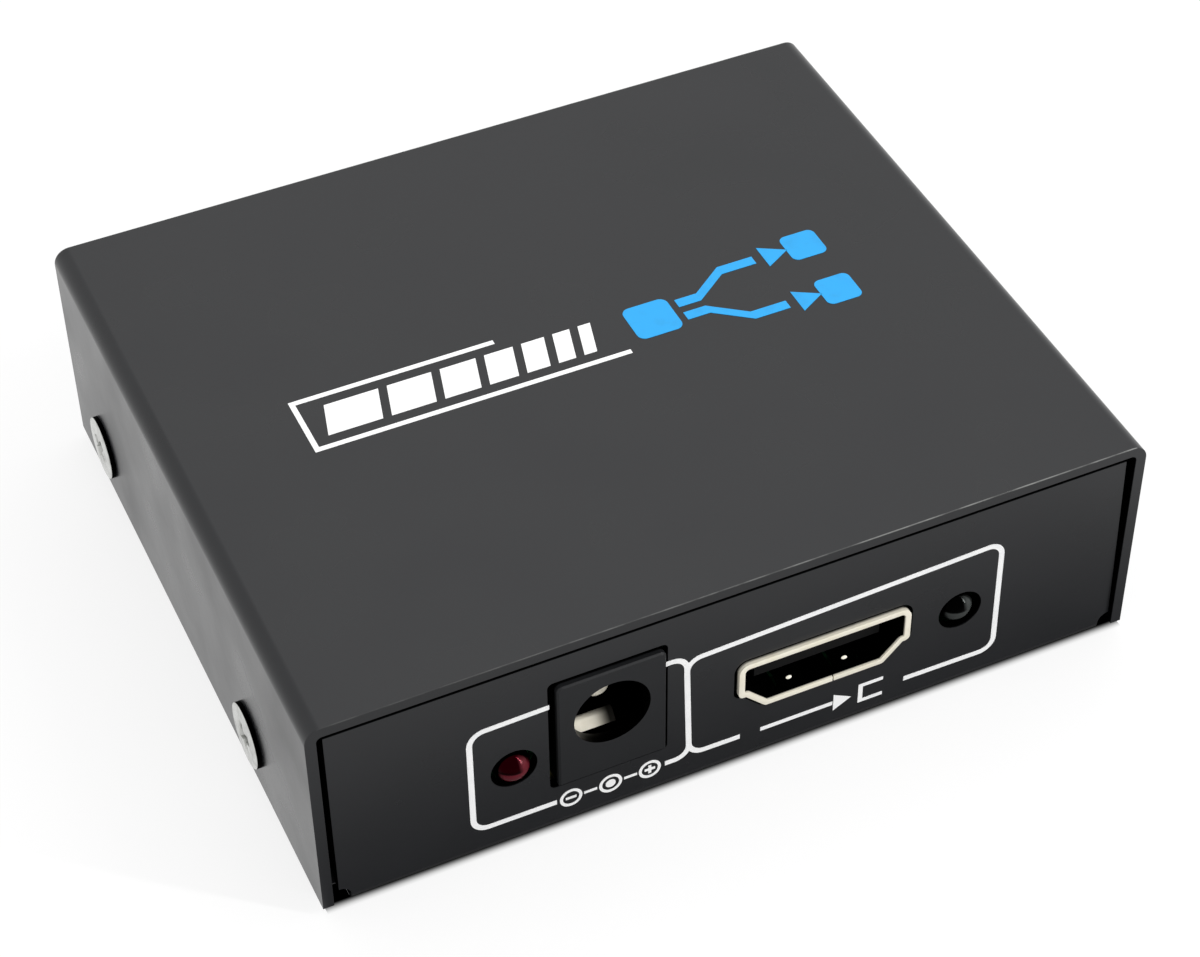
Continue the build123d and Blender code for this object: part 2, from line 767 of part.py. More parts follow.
# Insulator: the tongue, the block that closes the shell's back, and its foot on the board
with BuildPart() as insulator_form:
    with BuildSketch(Plane.XZ.offset(-insulator_start)):
        with Locations((0, socket_lift)):
            add(socket_outline.sketch)
        offset(amount=-shell_sheet - insulator_fit)
    extrude(amount=-(socket_depth - insulator_start))
    with BuildSketch(Plane.XZ.offset(-shell_foot_start - insulator_fit)):
        Rectangle(
            insulator_foot_width, socket_lift + shell_sheet + 2 * insulator_fit,
            align=(Align.CENTER, Align.MIN),
        )
    extrude(amount=-(socket_depth - shell_foot_start - insulator_fit))
    with BuildSketch(Plane.XZ.offset(-tongue_recess)):
        with Locations((0, tongue_floor)):
            Rectangle(tongue_width, tongue_thickness, align=(Align.CENTER, Align.MIN))
    extrude(amount=-(insulator_start - tongue_recess))
    chamfer(
        insulator_form.faces().sort_by(Axis.Y)[0].edges().filter_by(Axis.X), length=contact_sheet
    )
    add(contacts_form.part, mode=Mode.SUBTRACT)

for name, place in socket_places.items():
    with BuildPart() as socket_shell:
        with Locations(place):
            add(shell_form.part)
    socket_shell.part.label = f"{name}_shell"
    export_step(socket_shell.part, f"parts/{name}_shell.step")
    with BuildPart() as socket_insulator:
        with Locations(place):
            add(insulator_form.part)
    socket_insulator.part.label = f"{name}_insulator"
    export_step(socket_insulator.part, f"parts/{name}_insulator.step")
    with BuildPart() as socket_contacts:
        with Locations(place):
            add(contacts_form.part)
    socket_contacts.part.label = f"{name}_contacts"
    export_step(socket_contacts.part, f"parts/{name}_contacts.step")

# Light: a domed lens with a flange behind, turned about its own axis
with BuildPart() as lens_form:
    with BuildSketch(Plane.YZ):
        with BuildLine():
            Polyline(
                (led_radius, led_axis_height + led_radius),
                (led_length - led_flange_thickness, led_axis_height + led_radius),
                (led_length - led_flange_thickness, led_axis_height + led_flange_radius),
                (led_length, led_axis_height + led_flange_radius),
                (led_length, led_axis_height),
                (0, led_axis_height),
            )
            TangentArc(
                (0, led_axis_height), (led_radius, led_axis_height + led_radius), tangent=(0, 1)
            )
        make_face()
    revolve(axis=Axis((0, 0, led_axis_height), (0, 1, 0)))
    with Locations((led_radius, led_length, led_axis_height)):
        Box(
            led_radius, 2 * led_flange_thickness, 2 * led_flange_radius,
            align=(Align.MIN, Align.CENTER, Align.CENTER), mode=Mode.SUBTRACT,
        )

# Its two leads, bent down through the board
with BuildPart() as leads_form:
    for x, y, width, depth in led_legs:
        with BuildSketch(Plane.YZ.offset(x)):
            with BuildLine():
                FilletPolyline(
                    (led_length, led_axis_height),
                    (y, led_axis_height),
                    (y, -board_thickness - led_lead_overhang),
                    radius=led_lead_bend,
                )
            trace(line_width=depth)
        extrude(amount=width / 2, both=True)

for name, place in led_places.items():
    with BuildPart() as led_lens:
        with Locations(place):
            add(lens_form.part)
    led_lens.part.label = f"{name}_lens"
    export_step(led_lens.part, f"parts/{name}_lens.step")
    with BuildPart() as led_leads:
        with Locations(place):
            add(leads_form.part)
    led_leads.part.label = f"{name}_leads"
    export_step(led_leads.part, f"parts/{name}_leads.step")

# Splitter chip: a flat square body with leads along all four sides
splitter_place = board_places([splitter_chip_place_shares])[0]
with BuildPart() as splitter_chip:
    with Locations(splitter_place * Location((0, 0, chip_standing))):
        Box(
            splitter_chip_width, splitter_chip_width, splitter_chip_height,
            align=(Align.CENTER, Align.CENTER, Align.MIN),
        )
    chamfer(splitter_chip.faces().sort_by(Axis.Z)[-1].edges(), length=chip_edge_chamfer)
splitter_chip.part.label = "splitter_chip"
export_step(splitter_chip.part, "parts/splitter_chip.step")

splitter_lead = bent_lead(
    chip_lead_reach, chip_standing + splitter_chip_height / 2, chip_lead_shoulder,
    splitter_lead_width, chip_lead_sheet,
)
splitter_lead_run = splitter_lead_pitch * (splitter_lead_count - 1)
with BuildPart() as splitter_chip_leads:
    for turn in (0, 90, 180, 270):
        for index in range(splitter_lead_count):
            along = splitter_lead_pitch * index - splitter_lead_run / 2
            with Locations(
                splitter_place * Location((0, 0, 0), (0, 0, turn)) * Location((splitter_chip_width / 2, along, 0))
            ):
                add(splitter_lead)
splitter_chip_leads.part.label = "splitter_chip_leads"
export_step(splitter_chip_leads.part, "parts/splitter_chip_leads.step")

# Memory chip: a narrow body with four leads a side
memory_place = board_places([memory_chip_place_shares])[0]
with BuildPart() as memory_chip:
    with Locations(memory_place * Location((0, 0, chip_standing))):
        Box(
            memory_chip_width, memory_chip_depth, memory_chip_height,
            align=(Align.CENTER, Align.CENTER, Align.MIN),
        )
    chamfer(memory_chip.faces().sort_by(Axis.Z)[-1].edges(), length=chip_edge_chamfer)
memory_chip.part.label = "memory_chip"
export_step(memory_chip.part, "parts/memory_chip.step")

memory_lead = bent_lead(
    chip_lead_reach, chip_standing + memory_chip_height / 2, chip_lead_shoulder,
    memory_lead_width, chip_lead_sheet,
)
with BuildPart() as memory_chip_leads:
    for turn in (90, 270):
        for index in range(memory_lead_count):
            along = memory_lead_pitch * (index - (memory_lead_count - 1) / 2)
            with Locations(
                memory_place * Location((0, 0, 0), (0, 0, turn)) * Location((memory_chip_depth / 2, along, 0))
            ):
                add(memory_lead)
memory_chip_leads.part.label = "memory_chip_leads"
export_step(memory_chip_leads.part, "parts/memory_chip_leads.step")

# Voltage regulators: each a body with three narrow leads in front and a wide tab behind
regulator_places = board_places(regulator_place_shares)
with BuildPart() as regulators:
    with Locations(*[place * Location((0, 0, chip_standing)) for place in regulator_places]):
        Box(
            regulator_width, regulator_depth, regulator_height,
            align=(Align.CENTER, Align.CENTER, Align.MIN),
        )
    chamfer(
        regulators.edges().group_by(Axis.Z)[-1], length=chip_edge_chamfer
    )
regulators.part.label = "regulators"
export_step(regulators.part, "parts/regulators.step")

regulator_rise = chip_standing + regulator_height / 2
regulator_lead = bent_lead(
    regulator_lead_reach, regulator_rise, chip_lead_shoulder, regulator_lead_width, chip_lead_sheet
)
regulator_tab = bent_lead(
    regulator_lead_reach, regulator_rise, chip_lead_shoulder, regulator_tab_width, chip_lead_sheet
)
with BuildPart() as regulator_leads:
    for place in regulator_places:
        front = place * Location((0, 0, 0), (0, 0, -90))
        for index in (-1, 0, 1):
            with Locations(front * Location((regulator_depth / 2, index * regulator_lead_pitch, 0))):
                add(regulator_lead)
        with Locations(place * Location((0, 0, 0), (0, 0, 90)) * Location((regulator_depth / 2, 0, 0))):
            add(regulator_tab)
regulator_leads.part.label = "regulator_leads"
export_step(regulator_leads.part, "parts/regulator_leads.step")

# Power inductor: a square ferrite block with a round winding window
with BuildPart() as power_inductor:
    with BuildSketch(Plane.XY.offset(board_top)):
        with Locations((inductor_place_shares[0] * board_half, inductor_place_shares[1] * board_half_depth)):
            RectangleRounded(inductor_width, inductor_width, inductor_round)
    extrude(amount=inductor_height)
    with BuildSketch(Plane.XY.offset(board_top + inductor_height)):
        with Locations((inductor_place_shares[0] * board_half, inductor_place_shares[1] * board_half_depth)):
            Circle(inductor_winding_radius)
            Circle(inductor_winding_radius - inductor_winding_groove, mode=Mode.SUBTRACT)
    extrude(amount=-inductor_winding_groove, mode=Mode.SUBTRACT)
power_inductor.part.label = "power_inductor"
export_step(power_inductor.part, "parts/power_inductor.step")

# Electrolytic capacitors: a necked can on a square plastic base
with BuildPart() as capacitor_bases:
    with Locations(*board_places(can_place_shares)):
        Box(
            can_base_width, can_base_width, can_base_height,
            align=(Align.CENTER, Align.CENTER, Align.MIN),
        )
    upright = capacitor_bases.edges().filter_by(Axis.Z)
    chamfer(upright.group_by(Axis.Y)[-1] + upright.group_by(Axis.Y)[1], length=can_base_chamfer)
capacitor_bases.part.label = "capacitor_bases"
export_step(capacitor_bases.part, "parts/capacitor_bases.step")

with BuildPart() as can_form:
    with BuildSketch(Plane.XZ):
        with BuildLine():
            FilletPolyline(
                (0, can_height), (can_radius, can_height), (can_radius, 0), radius=can_round
            )
            Polyline((can_radius, 0), (0, 0), (0, can_height))
        make_face()
        with Locations((can_radius, can_groove_rise)):
            Circle(can_groove, mode=Mode.SUBTRACT)
    revolve(axis=Axis.Z)
with BuildPart() as capacitor_cans:
    with Locations(*[place * Location((0, 0, can_base_height)) for place in board_places(can_place_shares)]):
        add(can_form.part)
capacitor_cans.part.label = "capacitor_cans"
export_step(capacitor_cans.part, "parts/capacitor_cans.step")

# Crystal: a long round-ended can on a brim
crystal_centre = (crystal_place_shares[0] * board_half, crystal_place_shares[1] * board_half_depth)
with BuildPart() as clock_crystal:
    with BuildSketch(Plane.XY.offset(board_top)):
        with Locations(crystal_centre):
            SlotOverall(crystal_length, crystal_width, rotation=90)
    extrude(amount=crystal_brim_height)
    with BuildSketch(Plane.XY.offset(board_top + crystal_brim_height)):
        with Locations(crystal_centre):
            SlotOverall(crystal_length - 2 * crystal_brim, crystal_width - 2 * crystal_brim, rotation=90)
    extrude(amount=crystal_height - crystal_brim_height)
    fillet(clock_crystal.faces().sort_by(Axis.Z)[-1].edges(), radius=crystal_round)
clock_crystal.part.label = "clock_crystal"
export_step(clock_crystal.part, "parts/clock_crystal.step")

# Diode that guards against a reversed supply, with a tab folded under each end
diode_place = board_places([diode_place_shares])[0]
with BuildPart() as guard_diode:
    with Locations(diode_place * Location((0, 0, chip_lead_sheet))):
        Box(
            diode_length, diode_width, diode_height - chip_lead_sheet,
            align=(Align.CENTER, Align.CENTER, Align.MIN),
        )
    chamfer(guard_diode.faces().sort_by(Axis.Z)[-1].edges(), length=diode_chamfer)
guard_diode.part.label = "guard_diode"
export_step(guard_diode.part, "parts/guard_diode.step")

with BuildPart() as diode_tab_form:
    with BuildSketch(Plane.XZ):
        with BuildLine():
            Polyline(
                (diode_length / 2, diode_tab_rise),
                (diode_length / 2 + diode_tab_reach, diode_tab_rise),
                (diode_length / 2 + diode_tab_reach, chip_lead_sheet / 2),
                (diode_length / 2 - diode_tab_reach, chip_lead_sheet / 2),
            )
        trace(line_width=chip_lead_sheet)
    extrude(amount=diode_tab_width / 2, both=True)
with BuildPart() as diode_tabs:
    with Locations(diode_place, diode_place * Location((0, 0, 0), (0, 0, 180))):
        add(diode_tab_form.part)
diode_tabs.part.label = "diode_tabs"
export_step(diode_tabs.part, "parts/diode_tabs.step")

# Resettable fuse
with BuildPart() as input_fuse:
    with Locations(*board_places([fuse_place_shares])):
        Box(fuse_length, fuse_width, fuse_height, align=(Align.CENTER, Align.CENTER, Align.MIN))
    fillet(input_fuse.edges().filter_by(Axis.Z), radius=fuse_round)
input_fuse.part.label = "input_fuse"
export_step(input_fuse.part, "parts/input_fuse.step")

# Ceramic capacitors: three along each side of the splitter chip, and one beside each regulator
ring_radius = splitter_chip_width / 2 + chip_lead_reach + ceramic_ring_gap
ring_step = splitter_chip_width / 3
ceramic_places = [
    splitter_place * Location((0, 0, 0), (0, 0, turn)) * Location((ring_radius, step * ring_step, 0))
    for turn in (0, 90, 180, 270)
    for step in (-1, 0, 1)
]
ceramic_places += [
    place * Location((regulator_width / 2 + regulator_ceramic_gap, 0, 0)) for place in regulator_places
]
with BuildPart() as ceramic_capacitors:
    with Locations(*ceramic_places):
        Box(
            small_width, small_length, ceramic_height, align=(Align.CENTER, Align.CENTER, Align.MIN)
        )
ceramic_capacitors.part.label = "ceramic_capacitors"
export_step(ceramic_capacitors.part, "parts/ceramic_capacitors.step")

# Resistors: a row between the chip and the outputs, and a row before the input
resistor_places = []
for count, row_place in zip(resistor_row_counts, board_places(resistor_row_place_shares)):
    resistor_places += [
        row_place * Location((resistor_pitch * (index - (count - 1) / 2), 0, 0)) for index in range(count)
    ]
with BuildPart() as resistors:
    with Locations(*resistor_places):
        Box(
            small_width, small_length, resistor_height, align=(Align.CENTER, Align.CENTER, Align.MIN)
        )
resistors.part.label = "resistors"
export_step(resistors.part, "parts/resistors.step")

# Surge arrays, two behind each video socket
with BuildPart() as surge_arrays:
    with Locations(*board_places(array_place_shares)):
        Box(array_length, array_width, array_height, align=(Align.CENTER, Align.CENTER, Align.MIN))
surge_arrays.part.label = "surge_arrays"
export_step(surge_arrays.part, "parts/surge_arrays.step")

# Transistors that drive the lights, with two leads in front and one behind
transistor_places = board_places(transistor_place_shares)
with BuildPart() as transistors:
    with Locations(*[place * Location((0, 0, chip_standing)) for place in transistor_places]):
        Box(
            transistor_length, transistor_width, transistor_height,
            align=(Align.CENTER, Align.CENTER, Align.MIN),
        )
transistors.part.label = "transistors"
export_step(transistors.part, "parts/transistors.step")

transistor_lead = bent_lead(
    transistor_lead_reach, chip_standing + transistor_height / 2, chip_lead_sheet,
    transistor_lead_width, chip_lead_sheet,
)
with BuildPart() as transistor_leads:
    for place in transistor_places:
        front = place * Location((0, 0, 0), (0, 0, -90))
        for side in (-1, 1):
            with Locations(front * Location((transistor_width / 2, side * transistor_lead_pitch / 2, 0))):
                add(transistor_lead)
        with Locations(place * Location((0, 0, 0), (0, 0, 90)) * Location((transistor_width / 2, 0, 0))):
            add(transistor_lead)
transistor_leads.part.label = "transistor_leads"
export_step(transistor_leads.part, "parts/transistor_leads.step")
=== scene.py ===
"""Looks of a small steel video splitter: its coated box, sockets, lights, screws, board and print."""

from __future__ import annotations

import json
import logging
import math
from collections.abc import Callable, Iterable, Iterator
from contextlib import contextmanager
from dataclasses import dataclass, field
from enum import Enum

import bmesh
import bpy
from mathutils import Matrix, Vector

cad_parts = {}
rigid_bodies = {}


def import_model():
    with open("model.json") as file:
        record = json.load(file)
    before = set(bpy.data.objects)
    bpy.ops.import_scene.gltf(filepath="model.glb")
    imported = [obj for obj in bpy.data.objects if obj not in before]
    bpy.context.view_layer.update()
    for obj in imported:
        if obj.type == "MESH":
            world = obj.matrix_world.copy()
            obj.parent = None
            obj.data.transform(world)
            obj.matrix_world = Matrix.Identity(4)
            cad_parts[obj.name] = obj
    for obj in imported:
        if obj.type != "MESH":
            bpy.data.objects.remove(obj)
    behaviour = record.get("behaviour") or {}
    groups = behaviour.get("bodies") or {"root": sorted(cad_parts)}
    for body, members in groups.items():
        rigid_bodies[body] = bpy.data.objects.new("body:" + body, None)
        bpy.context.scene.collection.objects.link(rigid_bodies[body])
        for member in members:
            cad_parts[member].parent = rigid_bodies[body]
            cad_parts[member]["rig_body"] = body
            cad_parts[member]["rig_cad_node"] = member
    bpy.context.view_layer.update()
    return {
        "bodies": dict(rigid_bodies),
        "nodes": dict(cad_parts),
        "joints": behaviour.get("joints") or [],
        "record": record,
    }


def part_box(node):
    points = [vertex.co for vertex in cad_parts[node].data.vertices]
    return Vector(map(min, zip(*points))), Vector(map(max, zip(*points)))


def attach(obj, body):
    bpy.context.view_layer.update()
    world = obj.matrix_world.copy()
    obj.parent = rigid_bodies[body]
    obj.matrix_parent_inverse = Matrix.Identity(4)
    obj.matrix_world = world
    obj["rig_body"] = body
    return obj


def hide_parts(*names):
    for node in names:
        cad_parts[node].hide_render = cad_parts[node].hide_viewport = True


LOG = logging.getLogger("splitter")
MM = 0.001
BODY = "splitter"
# The mark on a mesh that tells a finish how much painted shade each point gets, in recesses, gaps and bores
PAINTED_SHADE = "deep"
# How near to a cut a point may lie and still be taken for a point of it
FINE_CUT = 0.001 * MM
COARSE_CUT = 0.1 * MM
# The upward share of a normal past which a face counts as facing up
UPRIGHT = 0.9
# The kinds of ray that show the table and the sky as plain white
SHOWN_RAYS = ("Is Camera Ray", "Is Glossy Ray", "Is Transmission Ray")

# How much painted shade a point gets, from its place and its normal
Share = Callable[[Vector, Vector], float]
# For each axis of the table, where the box's foot ends on either side and how fast distance counts there
Feet = tuple[tuple[str, tuple[float, float], tuple[float, float]], ...]


# Small tools


def linear(colour: str) -> tuple[float, float, float, float]:
    """Turn an sRGB hex colour to the linear numbers that a shader takes.

    Args:
        colour: The colour as "#rrggbb".

    Returns:
        Red, green, blue and an alpha of one.
    """
    parts = [int(colour[i : i + 2], 16) / 255 for i in (1, 3, 5)]
    red, green, blue = (c / 12.92 if c <= 0.04045 else ((c + 0.055) / 1.055) ** 2.4 for c in parts)
    return red, green, blue, 1.0


def per_metre(size_mm: float) -> float:
    """Give the texture scale at which a pattern's cell has that real size."""
    return 1000 / size_mm


def add_node(
    tree: bpy.types.NodeTree,
    kind: str,
    settings: dict | None = None,
    links: dict | None = None,
) -> bpy.types.Node:
    """Add one node with its options, socket values and links.

    Args:
        tree: The tree that the node goes into.
        kind: The node's type.
        settings: Options by name, and socket values by name or number.
        links: Sockets that feed the node, by the name or number of its own socket.

    Returns:
        The new node.
    """
    node = tree.nodes.new(kind)
    for key, value in (settings or {}).items():
        if isinstance(key, int) or key in node.inputs:
            node.inputs[key].default_value = value
        else:
            setattr(node, key, value)
    for key, socket in (links or {}).items():
        tree.links.new(socket, node.inputs[key])
    return node


def take_up(piece: bpy.types.Object) -> None:
    """Deselect everything and make one piece the active one."""
    bpy.ops.object.select_all(action="DESELECT")
    piece.select_set(True)
    bpy.context.view_layer.objects.active = piece


@contextmanager
def editing(piece: bpy.types.Object) -> Iterator[None]:
    """Hold a piece in edit mode, with all of it selected at first.

    Args:
        piece: The piece to edit.

    Yields:
        Nothing; edit mode ends with the block.
    """
    take_up(piece)
    bpy.ops.object.mode_set(mode="EDIT")
    bpy.ops.mesh.select_all(action="SELECT")
    yield
    bpy.ops.object.mode_set(mode="OBJECT")


def choose(piece: bpy.types.Object, kind: str, wanted: Callable) -> None:
    """Select the faces, edges or vertices of the piece in edit mode that a test wants.

    Args:
        piece: The piece in edit mode.
        kind: FACE, EDGE or VERT.
        wanted: The test, given one element.
    """
    bpy.ops.mesh.select_all(action="DESELECT")
    bpy.ops.mesh.select_mode(type=kind)
    mesh = bmesh.from_edit_mesh(piece.data)
    elements = {"FACE": mesh.faces, "EDGE": mesh.edges, "VERT": mesh.verts}[kind]
    for element in [element for element in elements if wanted(element)]:
        element.select_set(True)
    mesh.select_flush_mode()
    bmesh.update_edit_mesh(piece.data)


def cut_across(axis: str, places: Iterable[float], nearness: float = FINE_CUT) -> None:
    """Cut the faces of the piece in edit mode across, so that they can be marked or deleted in parts.

    Args:
        axis: The axis that the cuts stand across: X, Y or Z.
        places: Where each cut lies on that axis, in metres.
        nearness: How near to a cut a point may lie and still be taken for a point of it.
    """
    normal = Vector([float(name == axis) for name in "XYZ"])
    for place in places:
        bpy.ops.mesh.select_all(action="SELECT")
        bpy.ops.mesh.bisect(plane_co=normal * place, plane_no=normal, threshold=nearness)


def shape_with(piece: bpy.types.Object, kind: str, **settings: object) -> None:
    """Add a modifier to a piece and apply it.

    Args:
        piece: The piece.
        kind: The modifier's type.
        settings: The modifier's options.
    """
    take_up(piece)
    modifier = piece.modifiers.new(kind, kind)
    for key, value in settings.items():
        setattr(modifier, key, value)
    bpy.ops.object.modifier_apply(modifier=modifier.name)


def smooth(piece: bpy.types.Object, degrees: float = 35) -> None:
    """Shade a piece smooth, apart from edges sharper than an angle."""
    take_up(piece)
    bpy.ops.object.shade_smooth_by_angle(angle=math.radians(degrees))


def started(name: str) -> bpy.types.Object:
    """Name the primitive that was just added and give it back."""
    piece = bpy.context.object
    piece.name = piece.data.name = name
    return piece


def settle(piece: bpy.types.Object, place: Matrix) -> None:
    """Put a piece at its place in its own mesh, with its object at the origin."""
    piece.matrix_world = place
    take_up(piece)
    bpy.ops.object.transform_apply(location=True, rotation=True, scale=True)


def joined(pieces: list[bpy.types.Object], name: str) -> bpy.types.Object:
    """Join pieces to one.

    Args:
        pieces: The pieces; the first one stays.
        name: The name of the whole.

    Returns:
        The whole.
    """
    take_up(pieces[0])
    for piece in pieces[1:]:
        piece.select_set(True)
    bpy.ops.object.join()
    return started(name)


def copied(piece: bpy.types.Object, name: str) -> bpy.types.Object:
    """Copy a piece with a mesh of its own."""
    copy = piece.copy()
    copy.data = piece.data.copy()
    copy.name = copy.data.name = name
    bpy.context.scene.collection.objects.link(copy)
    return copy


def merged(node: bpy.types.Object, name: str) -> bpy.types.Object:
    """Copy a solid and merge its loose triangles to whole faces.

    Args:
        node: The solid.
        name: The copy's name.

    Returns:
        The merged copy.
    """
    piece = copied(node, name)
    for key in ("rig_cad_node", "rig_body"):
        if key in piece:
            del piece[key]
    piece.parent = None
    piece.matrix_world = Matrix.Identity(4)
    with editing(piece):
        bpy.ops.mesh.customdata_custom_splitnormals_clear()
        bpy.ops.mesh.remove_doubles(threshold=FINE_CUT)
        bpy.ops.mesh.dissolve_limited(angle_limit=math.radians(0.5))
    return piece


def round_edges(piece: bpy.types.Object, edge_mm: float, segments: int = 2) -> None:
    """Round a piece's sharp edges and shade it smooth.

    Args:
        piece: The piece.
        edge_mm: How far each edge is cut back.
        segments: Facets across a rounded edge.
    """
    shape_with(
        piece,
        "BEVEL",
        width=edge_mm * MM,
        segments=segments,
        limit_method="ANGLE",
        angle_limit=math.radians(40),
        use_clamp_overlap=True,
        miter_outer="MITER_ARC",
    )
    smooth(piece, 45)
    shape_with(piece, "WEIGHTED_NORMAL", keep_sharp=True)


def ramp(depth: float, limits: tuple[float, float]) -> float:
    """Give nought before the first limit, one past the second, and a slope between them."""
    return min(1.0, max(0.0, (depth - limits[0]) / (limits[1] - limits[0])))


def mark_painted_shade(piece: bpy.types.Object, share: Share) -> None:
    """Mark how much painted shade each point gets, for the finish to darken it.

    Args:
        piece: The piece.
        share: Gives nought to one for a point's place and normal, in metres.
    """
    marks = piece.data.attributes.new(PAINTED_SHADE, "FLOAT", "POINT")
    for mark, point in zip(marks.data, piece.data.vertices):
        mark.value = share(point.co, point.normal)


def hand_over(
    piece: bpy.types.Object, material: bpy.types.Material, slot: str = "", body: str = BODY
) -> None:
    """Dress a finished piece, let it ride on its body and report it.

    Args:
        piece: The finished piece.
        material: Its material.
        slot: The record's slot that it takes its finish from, or nothing; not used.
        body: The body that it rides on.
    """
    piece.data.materials.clear()
    piece.data.materials.append(material)
    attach(piece, body)
    LOG.info("%s: %d faces", piece.name, len(piece.data.polygons))


# Finishes


@dataclass(frozen=True)
class Finish:
    """A plain finish, and what every other finish starts from."""

    name: str
    colour: str
    roughness: float
    metallic: float = 0.0
    fixed: tuple[tuple[str, float], ...] = ()

    def material(self) -> bpy.types.Material:
        """Make the finish's material.

        Returns:
            The material, with its pattern painted by the finish's own method.
        """
        material = bpy.data.materials.new(self.name)
        material.use_nodes = True
        tree = material.node_tree
        tree.nodes.clear()
        place = add_node(tree, "ShaderNodeTexCoord").outputs["Object"]
        shader = add_node(
            tree,
            "ShaderNodeBsdfPrincipled",
            {
                "Base Color": linear(self.colour),
                "Roughness": self.roughness,
                "Metallic": self.metallic,
                **dict(self.fixed),
            },
        )
        self.paint(tree, shader, place)
        add_node(tree, "ShaderNodeOutputMaterial", links={"Surface": shader.outputs["BSDF"]})
        return material

    def paint(self, tree: bpy.types.NodeTree, shader: bpy.types.Node, place: bpy.types.NodeSocket) -> None:
        """Paint the pattern: none on a plain finish.

        Args:
            tree: The material's nodes.
            shader: The Principled shader.
            place: Object coordinates in metres.
        """


